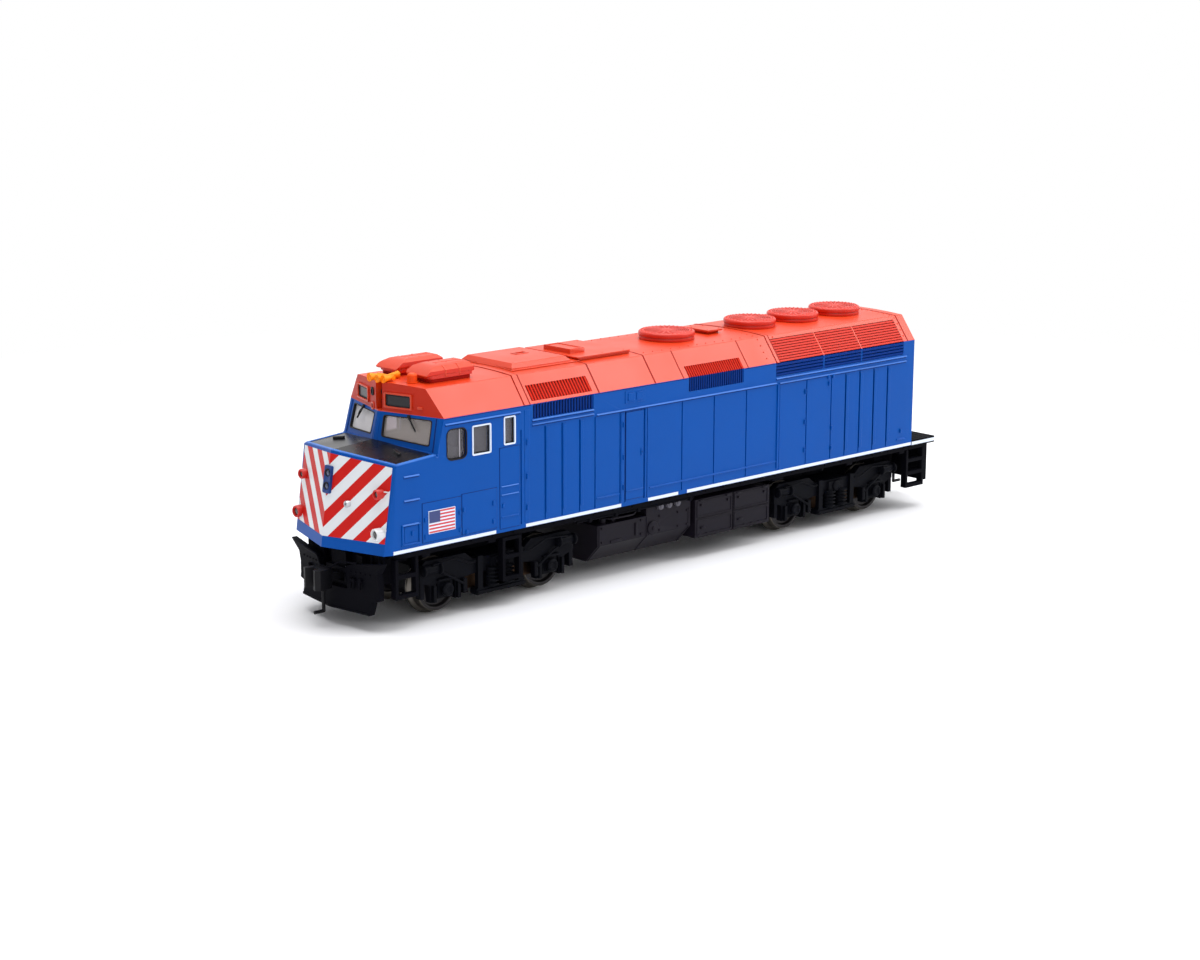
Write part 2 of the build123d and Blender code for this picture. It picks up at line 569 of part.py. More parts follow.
PILOT_T = 0.8
PILOT_X = NOSE_TIP_X - 1.3
PILOT_SWEEP = 0.15
PILOT_GAP_Z = COUPLER_Z - 1.2     # lower edge of the plough's gap, under the coupler's shank


def pilot():
    """Snow plough: curved, swept plate with raised wing tips and a gap over the coupler."""
    low = RAIL_Z + 1.7
    outline = [(0, low), (6.8, low), (7.0, RAIL_Z + 3.4), (8.0, RAIL_Z + 3.6), (8.0, RAIL_Z + 7.0),
               (9.3, RAIL_Z + 8.5), (6.6, RAIL_Z + 8.1), (4.0, RAIL_Z + 7.7), (2.7, RAIL_Z + 7.2),
               (2.7, PILOT_GAP_Z), (0, PILOT_GAP_Z)]
    curve = [(0.4, 1.5), (0.1, 2.8), (-0.05, 4.2), (-0.05, 5.6), (0.15, 7.0), (0.6, 8.7)]
    section = [(x, RAIL_Z + z) for x, z in curve] + [(x - PILOT_T, RAIL_Z + z) for x, z in reversed(curve)]
    sheet = Pos(PILOT_X, 0, 0) * Rot(0, 0, degrees(atan2(PILOT_SWEEP, 1))) * plate_y(section, -2, 12)
    wing = sheet & plate_x(outline, PILOT_X - 5, PILOT_X + 2)
    stay = block(FRONT_STEP_X + 0.6, PILOT_X - 1.5, 3.3, 4.5, RAIL_Z + 4.4, SILL_PLATE_Z - SEAT)
    stay += block(FRONT_STEP_X + 0.6, PILOT_X - 1.2, 3.3, 4.5, RAIL_Z + 4.4, RAIL_Z + 6.0)
    plough = both_sides(wing + stay)
    header = block(UNDER_FRONT_X - 1.5, PILOT_X - 2.3, 1.7, 7.0, SILL_PLATE_Z - 0.9, SILL_PLATE_Z - SEAT)
    return plough + both_sides(header)


def rear_pilot():
    """End plate under the rear platform, open in the middle for the coupler."""
    x1 = REAR_X - PLATFORM_LENGTH + 1.25
    plate = block(x1 - 0.7, x1, -BODY_HALF + 0.95, BODY_HALF - 0.95, RAIL_Z + 3.4, SILL_Z - 0.25 - SEAT)
    return plate - block(x1 - 2, x1 + 1, -2.3, 2.3, 0, SILL_PLATE_Z)


def rear_lamps():
    """Twin lamp housing high on the rear wall."""
    x = REAR_X - SEAT
    z = EAVE_Z + 1.6
    housing = block(x - 0.45, x, -1.3, 1.3, z - 0.65, z + 0.65)
    for y in (-0.6, 0.6):
        housing -= rod_x(x - 1, x - 0.25, y, z, 0.42)
    return housing


def coupler_box(sign):
    """Flat pocket that holds the coupler's pin; sign is +1 at the front and -1 at the rear."""
    reach = sign * (FRONT_TRUCK_X + TRUCK_HALF + COUPLER_OVERHANG)
    x0, x1 = reach - sign * 8.9, reach - sign * 3.9
    low, high = COUPLER_Z - 1.15, COUPLER_Z + 1.15
    pocket = block(min(x0, x1), max(x0, x1), -2.1, 2.1, low, high)
    slot = block(min(x0 + sign * 0.9, x1 + sign), max(x0 + sign * 0.9, x1 + sign), -1.55, 1.55,
                 COUPLER_Z - 0.55, COUPLER_Z + 0.55)
    pocket -= slot
    pin_x = reach - sign * 6.9
    pocket += rod_z(pin_x, 0, low + 0.1, high - 0.1, COUPLER_PIN_R)
    riser = block(min(x0, x1) + 0.4, max(x0, x1) - 0.4, -1.5, 1.5, high - 0.1, SILL_PLATE_Z - SEAT)
    return pocket + riser


def coupler(sign):
    """Knuckle coupler: eye round the pin, shank, head with its jaw, and a curved trip pin."""
    reach = sign * (FRONT_TRUCK_X + TRUCK_HALF + COUPLER_OVERHANG)
    pin_x = reach - sign * 6.9
    half = 0.45
    eye = rod_z(pin_x, 0, COUPLER_Z - half, COUPLER_Z + half, 0.95)
    shank_end = reach - sign * 2.4
    shank = block(min(pin_x, shank_end), max(pin_x, shank_end), -COUPLER_SHANK_W / 2, COUPLER_SHANK_W / 2,
                  COUPLER_Z - half, COUPLER_Z + half)
    shank += eye
    shank -= rod_z(pin_x, 0, COUPLER_Z - 1, COUPLER_Z + 1, COUPLER_PIN_R + RUNNING_FIT)
    tall = 1.25
    head = [(reach - sign * 2.6, -0.9), (reach - sign * 2.6, 0.9), (reach - sign * 1.6, 1.35),
            (reach - sign * 0.5, 1.45), (reach, 0.95), (reach - sign * 0.2, 0.35), (reach - sign * 0.9, 0.5),
            (reach - sign * 1.2, 0.1), (reach - sign * 1.1, -0.7), (reach - sign * 0.1, -1.15),
            (reach - sign * 0.2, -1.6), (reach - sign * 1.4, -1.5)]
    knuckle = plate_z(head, COUPLER_Z - tall, COUPLER_Z + tall)
    pin = rod_z(reach - sign * 1.9, 0, RAIL_Z + 1.3, COUPLER_Z, 0.22)
    foot = rod_x(min(reach - sign * 1.9, reach - sign * 0.5), max(reach - sign * 1.9, reach - sign * 0.5), 0,
                 RAIL_Z + 1.3, 0.22)
    bend = Pos(reach - sign * 1.9, 0, RAIL_Z + 1.3) * Sphere(0.22)
    return shank + knuckle + pin + foot + bend


# ---- trucks and wheels --------------------------------------------------------------------------
def wheelset():
    """Two flanged wheels on one axle, turned about Y through the origin."""
    tread_in = GAUGE / 2 - 0.05
    hub = WHEEL_BACK - 0.15
    profile = Polyline((0, 0), (AXLE_R, 0), (AXLE_R, hub), (1.15, hub), (1.15, WHEEL_BACK + 0.3),
                       (2.5, WHEEL_BACK + 0.3), (2.7, WHEEL_BACK), (FLANGE_R - 0.25, WHEEL_BACK))
    rim = ThreePointArc((FLANGE_R - 0.25, WHEEL_BACK), (FLANGE_R, WHEEL_BACK + 0.3), (FLANGE_R - 0.2, WHEEL_BACK + 0.55))
    face = Polyline((FLANGE_R - 0.2, WHEEL_BACK + 0.55), (TREAD_R + 0.02, tread_in + 0.1), (TREAD_R, tread_in + 0.25),
                    (TREAD_R - 0.05, WHEEL_FACE - 0.1), (TREAD_R - 0.15, WHEEL_FACE), (2.65, WHEEL_FACE),
                    (2.45, WHEEL_FACE - 0.45), (1.35, WHEEL_FACE - 0.3), (1.15, WHEEL_FACE - 0.05),
                    (JOURNAL_R, WHEEL_FACE - 0.05), (JOURNAL_R, SIDE_IN + 0.55), (0, SIDE_IN + 0.55), (0, 0))
    half = revolve(make_face(profile + rim + face), Axis.Y)
    return half + other_side(half)


def side_frame():
    """Left side frame about the truck's centre: arched frame, hangers, spring plank, brake gear."""
    reach = TRUCK_HALF
    axle = WHEELBASE / 2
    top = AXLE_Z + 3.975
    dip = AXLE_Z + 3.025
    half = [(0, dip), (axle - 4.4, dip), (axle - 3.2, top), (reach - 0.9, top), (reach, top - 0.7),
            (reach, AXLE_Z + 1.325), (axle + 2.5, AXLE_Z + 0.825), (axle + 2.3, AXLE_Z - 1.475),
            (axle + 1.55, AXLE_Z - 1.475), (axle + 1.45, AXLE_Z + 0.825), (axle + 0.9, AXLE_Z + 1.575),
            (axle - 0.9, AXLE_Z + 1.575), (axle - 1.45, AXLE_Z + 0.825), (axle - 1.55, AXLE_Z - 1.475),
            (axle - 2.3, AXLE_Z - 1.475), (axle - 2.5, AXLE_Z + 0.825), (axle - 4.2, AXLE_Z + 1.125), (0, AXLE_Z + 1.125)]
    outline = half + [(-x, z) for x, z in reversed(half[1:-1])]
    frame = plate_y(outline, SIDE_IN, SIDE_OUT)
    swing = SIDE_OUT + 0.45
    for s in (1, -1):
        a = s * axle
        frame += block(a - 1.2, a + 1.2, SIDE_IN, SIDE_OUT - 0.05, AXLE_Z - 1.1, AXLE_Z + 1.725)
        frame += block(a - 0.75, a + 0.75, SIDE_IN + 0.2, SIDE_OUT + 0.3, AXLE_Z - 0.75, AXLE_Z + 0.75)
        frame += block(s * 3.3 - 0.4, s * 3.3 + 0.4, SIDE_OUT - 0.2, swing, AXLE_Z - 1.425, AXLE_Z + 3.325)
        frame += rod_z(s * 1.25, SIDE_OUT - 0.15, AXLE_Z - 0.975, AXLE_Z + 1.525, 0.8)
        x0, x1 = sorted((s * (reach - 3.1), s * (reach - 0.3)))
        frame += rod_x(x0, x1, SIDE_OUT + 0.1, AXLE_Z + 2.925, 0.62)
        x0, x1 = sorted((s * (reach - 0.7), s * (reach - 0.1)))
        frame += block(x0, x1, SIDE_IN, SIDE_OUT, AXLE_Z - 0.775, AXLE_Z + 1.825)
        frame -= rod_y(a, SIDE_IN - 1, SIDE_IN + 0.6, AXLE_Z, JOURNAL_R + RUNNING_FIT)
    frame += block(-3.9, 3.9, SIDE_OUT - 0.9, swing, AXLE_Z - 1.625, AXLE_Z - 0.875)
    frame += block(-1.5, 1.5, SIDE_IN, swing - 0.1, AXLE_Z + 1.425, AXLE_Z + 2.825)
    return frame


def truck_frame():
    """Gear housing on the centre line with a pivot above, cross arms and two side frames."""
    low, high = AXLE_Z - 1.875, AXLE_Z + 3.725
    reach = WHEELBASE / 2 + 2.3
    width = WHEEL_BACK - 0.6
    housing = plate_y([(-reach, low + 1.2), (-reach + 1.2, low), (reach - 1.2, low), (reach, low + 1.2),
                       (reach, high - 1.2), (reach - 1.2, high), (-reach + 1.2, high), (-reach, high - 1.2)],
                      -width, width)
    for s in (1, -1):
        housing -= rod_y(s * WHEELBASE / 2, -width - 1, width + 1, AXLE_Z, AXLE_R + RUNNING_FIT)
    arm_half = min(2.6, WHEELBASE / 2 - FLANGE_R - 0.5)
    arms = block(-arm_half, arm_half, -SIDE_IN - 0.1, SIDE_IN + 0.1, AXLE_Z + 1.225, AXLE_Z + 3.025)
    pad = rod_z(0, 0, high - 0.5, SILL_PLATE_Z - 0.1, PIVOT_PAD_R)
    pivot = rod_z(0, 0, high, PIVOT_TOP, PIVOT_R)
    return housing + arms + pad + pivot + both_sides(side_frame())


def truck_contacts():
    """Thin current-collecting strip behind each side frame, with a hole round each axle end."""
    y1 = SIDE_IN - SEAT
    strip = block(-WHEELBASE / 2 - 1.3, WHEELBASE / 2 + 1.3, y1 - 0.18, y1, AXLE_Z - 0.95, AXLE_Z + 1.1)
    for s in (1, -1):
        strip -= rod_y(s * WHEELBASE / 2, y1 - 1, y1 + 1, AXLE_Z, JOURNAL_R + RUNNING_FIT)
    return both_sides(strip)


# ---- every piece, by name -----------------------------------------------------------------------
pieces = {
    "body_shell": body_shell(),
    "windscreen": windscreen(),
    "cab_glass_left": cab_glass(True),
    "cab_glass_right": cab_glass(False),
    "number_board_left": number_board(True),
    "number_board_right": number_board(False),
    "windscreen_wipers": wipers(),
    "nose_headlight": nose_headlight(),
    "nose_lamps": nose_lamps(),
    "horns": horns(),
    "beacon": beacon(),
    "air_conditioner_left": air_conditioner(True),
    "air_conditioner_right": air_conditioner(False),
    "front_hatch": front_hatch(),
    "engine_hatch": engine_hatch(),
    "roof_plate": roof_plate(),
    "brake_fan": roof_fan(FAN_X[0], FAN_R + 0.15),
    "radiator_fan_front": roof_fan(FAN_X[1], FAN_R),
    "radiator_fan_middle": roof_fan(FAN_X[2], FAN_R),
    "radiator_fan_rear": roof_fan(FAN_X[3], FAN_R),
    "underframe": underframe(),
    "chassis_weight": chassis_weight(),
    "rear_platform": rear_platform(),
    "fuel_tank": fuel_tank(),
    "equipment_box": equipment_box(),
    "cab_steps_left": cab_steps(True),
    "cab_steps_right": cab_steps(False),
    "front_steps_left": corner_steps(True, True),
    "front_steps_right": corner_steps(True, False),
    "rear_steps_left": corner_steps(False, True),
    "rear_steps_right": corner_steps(False, False),
    "pilot": pilot(),
    "rear_pilot": rear_pilot(),
    "rear_lamps": rear_lamps(),
    "front_coupler_box": coupler_box(1),
    "rear_coupler_box": coupler_box(-1),
    "front_coupler": coupler(1),
    "rear_coupler": coupler(-1),
}
for truck, x in (("front_truck", FRONT_TRUCK_X), ("rear_truck", REAR_TRUCK_X)):
    pieces[truck + "_frame"] = Pos(x, 0, 0) * truck_frame()
    pieces[truck + "_contacts"] = Pos(x, 0, 0) * truck_contacts()
    for place, s in (("lead", 1), ("trail", -1)):
        pieces[truck + "_" + place + "_wheels"] = Pos(x + s * WHEELBASE / 2, 0, AXLE_Z) * wheelset()

for name, shape in pieces.items():
    export_step(shape, f"parts/{name}.step")
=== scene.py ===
from math import atan2, cos, hypot, pi, radians, sin

import bmesh
import bpy
from mathutils import Matrix, Vector


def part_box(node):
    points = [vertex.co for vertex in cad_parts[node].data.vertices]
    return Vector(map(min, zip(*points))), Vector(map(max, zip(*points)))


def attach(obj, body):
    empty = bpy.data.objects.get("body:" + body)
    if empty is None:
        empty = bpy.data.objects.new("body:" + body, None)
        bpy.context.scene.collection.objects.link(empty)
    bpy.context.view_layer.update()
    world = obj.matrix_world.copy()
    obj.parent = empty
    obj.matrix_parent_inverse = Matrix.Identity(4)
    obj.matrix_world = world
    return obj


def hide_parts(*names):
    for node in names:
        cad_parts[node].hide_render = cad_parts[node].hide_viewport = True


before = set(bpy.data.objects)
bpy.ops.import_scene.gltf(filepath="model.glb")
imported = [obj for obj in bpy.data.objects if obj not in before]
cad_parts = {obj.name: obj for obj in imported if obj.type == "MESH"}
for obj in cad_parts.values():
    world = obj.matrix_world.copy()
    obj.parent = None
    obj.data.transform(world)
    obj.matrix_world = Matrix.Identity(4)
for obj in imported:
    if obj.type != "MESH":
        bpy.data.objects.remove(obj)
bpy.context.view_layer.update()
MM = 0.001

# ---- Body shell ----
# One hollow injection moulding in ABS: hood, cab and nose, sprayed blue with an orange-red band from
# the eave up. It clips over the chassis. Mould edges are slightly rounded and the paint is satin gloss.


def extents(node):
    """Lowest and highest corner of a CAD node, in millimetres."""
    return (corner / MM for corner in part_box(node))


SHELL_LOW, SHELL_HIGH = extents("body_shell")
SILL = SHELL_LOW.z  # lower edge of the body
CROWN = SHELL_HIGH.z  # middle of the arched roof
HALF = SHELL_HIGH.y  # half the width over the sides
REAR = SHELL_LOW.x  # rear wall
EAVE = CROWN - 3.65  # edge between the side and the roof slope
SHOULDER = CROWN - 0.25
SLOPE_IN = 2.55  # width of the roof slope
SLOPE_RISE = SHOULDER - EAVE


def linear(hex_colour):
    """Linear RGBA of an sRGB hex value."""
    parts = [int(hex_colour[i:i + 2], 16) / 255 for i in (0, 2, 4)]
    return tuple(c / 12.92 if c <= 0.04045 else ((c + 0.055) / 1.055) ** 2.4 for c in parts) + (1.0,)


def add(tree, kind, values=None, **settings):
    """Adds a node; values fill its inputs, and another node or one of its outputs is linked."""
    made = tree.nodes.new(kind)
    for key, value in settings.items():
        setattr(made, key, value)
    for key, value in (values or {}).items():
        value = value.outputs[0] if isinstance(value, bpy.types.Node) else value
        if isinstance(value, bpy.types.NodeSocket):
            tree.links.new(value, made.inputs[key])
        else:
            made.inputs[key].default_value = value
    return made


def emptied(block):
    """Node tree of a new material or world, without nodes."""
    block.use_nodes = True
    block.node_tree.nodes.clear()
    return block.node_tree


BLOTCH_SIZE = 6


def finish_of(name, colour, roughness, specular=0.5, grain_mm=0.25, grain=0.03, blotch=0.04, metal=0.0,
              coat=0.0, clear=0.0, ior=1.5):
    """Plastic, paint or metal: a colour with faint blotches, uneven gloss and a fine surface grain.
    colour is a hex value, or two of them for below and above the eave."""
    material = bpy.data.materials.new(name)
    tree = emptied(material)
    place = add(tree, "ShaderNodeTexCoord").outputs["Object"]
    if isinstance(colour, tuple):
        height = add(tree, "ShaderNodeSeparateXYZ", {0: place}).outputs["Z"]
        above = add(tree, "ShaderNodeMath", {0: height, 1: EAVE * MM}, operation="GREATER_THAN")
        low, high = (linear(one) for one in colour)
        base = add(tree, "ShaderNodeMix", {"Factor": above, 6: low, 7: high}, data_type="RGBA").outputs[2]
    else:
        base = linear(colour)[:3]
    cloud = add(tree, "ShaderNodeTexNoise", {"Vector": place, "Scale": 1 / (BLOTCH_SIZE * MM), "Detail": 3.0})
    fine = add(tree, "ShaderNodeTexNoise", {"Vector": place, "Scale": 1 / (grain_mm * MM), "Detail": 2.0})

    def clouded(low, high):
        return add(tree, "ShaderNodeMapRange", {
            "Value": cloud, "From Min": 0.3, "From Max": 0.7, "To Min": low, "To Max": high})

    surface = add(tree, "ShaderNodeBsdfPrincipled", {
        "Base Color": add(tree, "ShaderNodeVectorMath", {0: base, 1: clouded(1 - blotch, 1 + blotch)},
                          operation="MULTIPLY"),
        "Normal": add(tree, "ShaderNodeBump", {"Height": fine, "Strength": grain, "Distance": 0.05 * MM}),
        "Roughness": clouded(roughness - 0.04, roughness + 0.05), "Specular IOR Level": specular,
        "Metallic": metal, "Coat Weight": coat, "Transmission Weight": clear, "IOR": ior})
    add(tree, "ShaderNodeOutputMaterial", {"Surface": surface})
    return material


def settle(obj, body, slot, *stands_for):
    """Puts a finished piece on its CAD body and hides what it stands for."""
    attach(obj, body)
    if stands_for:
        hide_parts(*stands_for)
    return obj


SHARP_FROM = 28  # degrees at an edge from which its bevel rounds it


def shown(mesh, name, width, segments):
    """Object for a mesh; a width rounds its sharp edges like a moulding's, so that they catch the light."""
    obj = bpy.data.objects.new(name, mesh)
    bpy.context.scene.collection.objects.link(obj)
    if width:
        bevel = obj.modifiers.new("moulded edges", "BEVEL")
        bevel.width = width * MM
        bevel.segments = segments
        bevel.limit_method = "ANGLE"
        bevel.angle_limit = radians(SHARP_FROM)
        bevel.miter_outer = "MITER_ARC"
        even = obj.modifiers.new("flat faces stay flat", "WEIGHTED_NORMAL")
        even.mode = "FACE_AREA"
        even.weight = 90
    return obj


def smooth_by_angle(mesh, angle):
    """Smooth shading with hard creases past an angle."""
    for face in mesh.polygons:
        face.use_smooth = True
    bm = bmesh.new()
    bm.from_mesh(mesh)
    for edge in bm.edges:
        edge.smooth = len(edge.link_faces) == 2 and edge.calc_face_angle(0) < radians(angle)
    bm.to_mesh(mesh)
    bm.free()


def from_cad(node, name, slot, *materials, body="locomotive", width=0.06, segments=2):
    """Piece in place of a CAD node: its own shape with flat faces joined up and edges rounded."""
    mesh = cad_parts[node].data.copy()
    bm = bmesh.new()
    bm.from_mesh(mesh)
    bmesh.ops.remove_doubles(bm, verts=bm.verts, dist=0.002 * MM)
    bmesh.ops.dissolve_degenerate(bm, edges=bm.edges, dist=0.001 * MM)
    bm.to_mesh(mesh)
    bm.free()
    mesh.materials.clear()
    for material in materials:
        mesh.materials.append(material)
    for face in mesh.polygons:
        face.material_index = 0
    smooth_by_angle(mesh, 30)
    mesh.name = name
    return settle(shown(mesh, name, width, segments), body, slot, node)


# Acrylic spray over ABS, satin gloss with a trace of orange peel; painted shade on the floors between the
# grille bars
RED = "CE360A"
SPRAY = {"grain_mm": 0.5, "grain": 0.05, "blotch": 0.02}
shell_paint = finish_of("sprayed_blue_and_red", ("024B9F", RED), 0.36, 0.3, **SPRAY)
tree = shell_paint.node_tree  # the roof's last coat has more gloss than the sides
place = add(tree, "ShaderNodeTexCoord").outputs["Object"]
height = add(tree, "ShaderNodeSeparateXYZ", {0: place}).outputs["Z"]
gloss = add(tree, "ShaderNodeMapRange", {
    "Value": height, "From Min": EAVE * MM, "From Max": (EAVE + 0.02) * MM, "To Min": 0.1, "To Max": 0.5})
tree.links.new(gloss.outputs[0], tree.nodes["Principled BSDF"].inputs["Specular IOR Level"])
bare_abs = finish_of("bare_black_abs", "17161A", 0.6)
grille_floor_shade = finish_of("painted_shade_on_grille_floors", ("041A4A", "92180B"), 0.6, 0.2, blotch=0.03)
# the brow's forward faces take a darker red than the rest of the roof: painted shade
brow_shade_red = finish_of("red_brow_darkened_as_painted_shade", "C02608", 0.42, 0.2, **SPRAY)
shell = from_cad("body_shell", "shell", "body_paint", shell_paint, bare_abs, grille_floor_shade, brow_shade_red,
                 width=0.09)
GRILLES = ((17.1, 27.4), (-10.35, 0.15), (-26.35, -16.6), (-34.3, -26.4), (-43.5, -34.35))
slope_out = Vector((0, SLOPE_RISE, SLOPE_IN)).normalized()
for face in shell.data.polygons:
    spot = face.center / MM
    middle = Vector((min(max(spot.x, -40), 36), 0, 18))  # nearest point on the hollow's centre line
    faces_in = face.normal.dot(spot - middle) < -1e-3 and spot.x < 52
    recess = spot.x > 42 and abs(spot.y) < 0.7 and spot.z > EAVE  # between the two halves of the brow
    sunk = (Vector((0, HALF, EAVE)) - Vector((0, abs(spot.y), spot.z))).dot(slope_out)
    outer = spot.y * face.normal.y > 0 and spot.z > EAVE - 2
    in_grille = outer and any(x0 < spot.x < x1 for x0, x1 in GRILLES)
    if faces_in and abs(spot.y) < HALF - 0.6 and spot.z < CROWN - 0.7:
        face.material_index = 0 if recess else 1
    # forward faces of the brow, in the darker red: painted shade
    elif face.normal.x > 0.4 and spot.z > EAVE + 0.3 and 36 < spot.x < 46:
        face.material_index = 3
    # floors of the grille pockets take the darker two-tone colour: painted shade
    elif in_grille and (HALF - abs(spot.y) > 0.25 if spot.z < EAVE else 0.25 < sunk < 0.4):
        face.material_index = 2

# ---- Relief on the hood and cab sides ----
# Ribs, battens, door leaves, hinges and latches, moulded as one with the sides and sprayed with them.
# Here they are thin pieces seated on the shell, the same on both sides.


def skin(bm, rows, paint=0, place=Matrix(), closed=False):
    """Solid skinned over rows of points, capped at both ends or closed to a ring. A row may be one point."""
    rows = [[bm.verts.new(place @ Vector(point)) for point in row] for row in rows]
    ends = [] if closed else [row for row in (rows[0][::-1], rows[-1]) if len(row) > 1]
    faces = [bm.faces.new(end) for end in ends]
    for a, b in zip(rows, rows[1:] + rows[:1] if closed else rows[1:]):
        count = max(len(a), len(b))
        for n in range(count):
            m = (n + 1) % count
            corners = (a[n % len(a)], a[m % len(a)], b[m % len(b)], b[n % len(b)])
            faces.append(bm.faces.new(list(dict.fromkeys(corners))))
    for face in faces:
        face.material_index = paint
    return faces


def slab(bm, outline, low, high, place=Matrix(), paint=0):
    """Solid over an outline of 2-D points, between two heights of its own plane."""
    return skin(bm, [[(x, y, h) for x, y in outline] for h in (low, high)], paint, place)


def brick(bm, x0, x1, y0, y1, z0, z1, paint=0, place=Matrix()):
    slab(bm, [(x0, y0), (x1, y0), (x1, y1), (x0, y1)], z0, z1, place, paint)


def rounded(width, height, radius, x=0, y=0, steps=5):
    """Outline of a rectangle with round corners, about a middle."""
    points = []
    for cx, cy, start in ((1, 1, 0), (-1, 1, 90), (-1, -1, 180), (1, -1, 270)):
        for n in range(steps + 1):
            a = radians(start + 90 * n / steps)
            points.append((x + (cx * (width / 2 - radius) + radius * cos(a)),
                           y + (cy * (height / 2 - radius) + radius * sin(a))))
    return points


def hoop(bm, outer, inner, low, high, place=Matrix(), paint=0):
    """Frame between two outlines that have the same number of points."""
    corners = ((outer, low), (outer, high), (inner, high), (inner, low))
    skin(bm, [[(x, y, h) for x, y in line] for line, h in corners], paint, place, closed=True)


def circle(radius, height, sides):
    """Ring of points about the Z axis, or one point on it."""
    if radius == 0:
        return [(0, 0, height)]
    return [(radius * cos(a), radius * sin(a), height) for a in (2 * pi * n / sides for n in range(sides))]


def lathe(bm, profile, place=Matrix(), sides=32, paint=0):
    """Solid turned about its own Z axis from (radius, height) points."""
    skin(bm, [circle(r, h, sides) for r, h in profile], paint, place)


def rod(bm, start, end, radius, tip=None, sides=10):
    """Round bar between two points; tip is the radius at its end where it tapers."""
    start, along = Vector(start), Vector(end) - Vector(start)
    place = Matrix.Translation(start) @ along.to_track_quat("Z", "X").to_matrix().to_4x4()
    lathe(bm, [(radius, 0), (tip or radius, along.length)], place, sides)


def bend(before, corner, after, reach):
    """Points of a round bend that replaces a corner."""
    a, b = (corner + (p - corner).normalized() * min(reach, (p - corner).length / 2) for p in (before, after))
    return [a * (1 - t) ** 2 + corner * 2 * t * (1 - t) + b * t ** 2 for t in (0, 0.25, 0.5, 0.75, 1)]


def wire(bm, points, radius, reach=0.35):
    """Round wire through points, bent round within reach of each."""
    points = [Vector(p) for p in points]
    line = [points[0]]
    for before, corner, after in zip(points, points[1:], points[2:]):
        line += bend(before, corner, after, reach)
    line.append(points[-1])
    rows, across = [], None
    for n, point in enumerate(line):
        along = (line[min(n + 1, len(line) - 1)] - line[max(n - 1, 0)]).normalized()
        if across is None:
            across = along.orthogonal().normalized()
        across = (across - along * across.dot(along)).normalized()
        upward = along.cross(across)
        rows.append([point + radius * (across * u + upward * v) for u, v, _ in circle(1, 0, sides=8)])
    skin(bm, rows)


def twin(bm):
    """Adds the other side's copy of everything made so far."""
    made = bmesh.ops.duplicate(bm, geom=bm.verts[:] + bm.edges[:] + bm.faces[:])["geom"]
    for vert in (g for g in made if isinstance(g, bmesh.types.BMVert)):
        vert.co.y = -vert.co.y


def finished(bm, name, slot, materials, *stands_for, body="locomotive", width=0.04, angle=30, scale=MM):
    """Turns work into a piece: outward faces, materials, smooth and rounded edges, and its body."""
    bmesh.ops.recalc_face_normals(bm, faces=bm.faces)
    mesh = bpy.data.meshes.new(name)
    bm.to_mesh(mesh)
    bm.free()
    mesh.transform(Matrix.Scale(scale, 4))
    for material in materials:
        mesh.materials.append(material)
    if angle:
        smooth_by_angle(mesh, angle)
    return settle(shown(mesh, name, width, 2), body, slot, *stands_for)


ACROSS = Matrix(((0, 0, 1), (1, 0, 0), (0, 1, 0))).to_4x4()  # (y, z, x) to (x, y, z)
OUTWARD = Matrix(((1, 0, 0), (0, 0, 1), (0, 1, 0))).to_4x4()  # (x, z, y) to (x, y, z)
ON_SIDE = Matrix.Translation((0, HALF, 0)) @ OUTWARD
SUNK = -0.12  # how far a relief piece reaches into the shell
LIT_FROM = 12.5  # ribs above this height have a painted highlight on the upper edge and a painted shadow below
# paler blue on upper edges is a painted highlight
highlight_blue = finish_of("paler_blue_as_painted_highlight", "3670C4", 0.38, 0.3, grain_mm=0.5, grain=0.05)
# dark blue for the door joints, and as painted shadow below the ribs, the eave and the cab corner
joint_and_shadow_blue = finish_of("dark_blue_joint_and_painted_shadow", "0A2A66", 0.5, 0.1, blotch=0.02)


def on_side(bm, x0, x1, z0, z1, proud, paint=0):
    """Flat piece on the left side, standing proud of it."""
    brick(bm, x0, x1, z0, z1, SUNK, proud, paint, ON_SIDE)


bm = bmesh.new()
for x0, x1, z in (
        (-16.8, 16.6, 22.68), (17.1, 27.5, 22.9), (17.1, 27.5, 23.45), (-44.1, -17.4, 22.6),
        (-44.1, -16.7, 23.3), (-16.9, 7.2, 11.75), (12.6, 16.6, 11.8), (8.4, 11.5, 11.95),
        (29.8, 32.6, 15.75), (29.8, 32.6, 14.7), (29.8, 32.6, 11.9), (45.4, 47.75, 19.25),
        (45.4, 47.75, 16.3), (45.4, 48.1, 13.32), (45.4, 48.3, 10.95), (29.4, 41.35, 24.75),
        (-44.2, -42.4, 11.2)):
    section = [(SUNK, z - 0.12), (0.18, z - 0.12), (0.18, z - 0.04), (0.0, z + 0.1), (SUNK, z + 0.1)]
    rib = slab(bm, section, x0, x1, Matrix.Translation((0, HALF, 0)) @ ACROSS)
    # top face of an upper rib, in the paler blue: painted highlight
    rib[4].material_index = int(z > LIT_FROM)
    if z > LIT_FROM:
        # painted shadow below the rib
        on_side(bm, x0, x1, z - 0.26, z - 0.13, 0.012, 2)
for x in (24.95, 22.1, 19.12):  # battens ahead of the doors
    on_side(bm, x - 0.22, x + 0.26, 11.3, 22.35, 0.08)
for x in (-31.4, -34.4, -37.4, -40.4):  # battens below the radiators
    on_side(bm, x - 0.3, x + 0.26, 11.2, 22.05, 0.08)
MACHINE_DOOR, CAB_DOOR = (8.4, 11.5, 10.75, 22.3), (29.6, 32.8, 10.4, 20.6)
EQUIPMENT_DOORS = (39.05, 45.0, 10.7, 15.55), (33.35, 38.85, 10.7, 15.75)
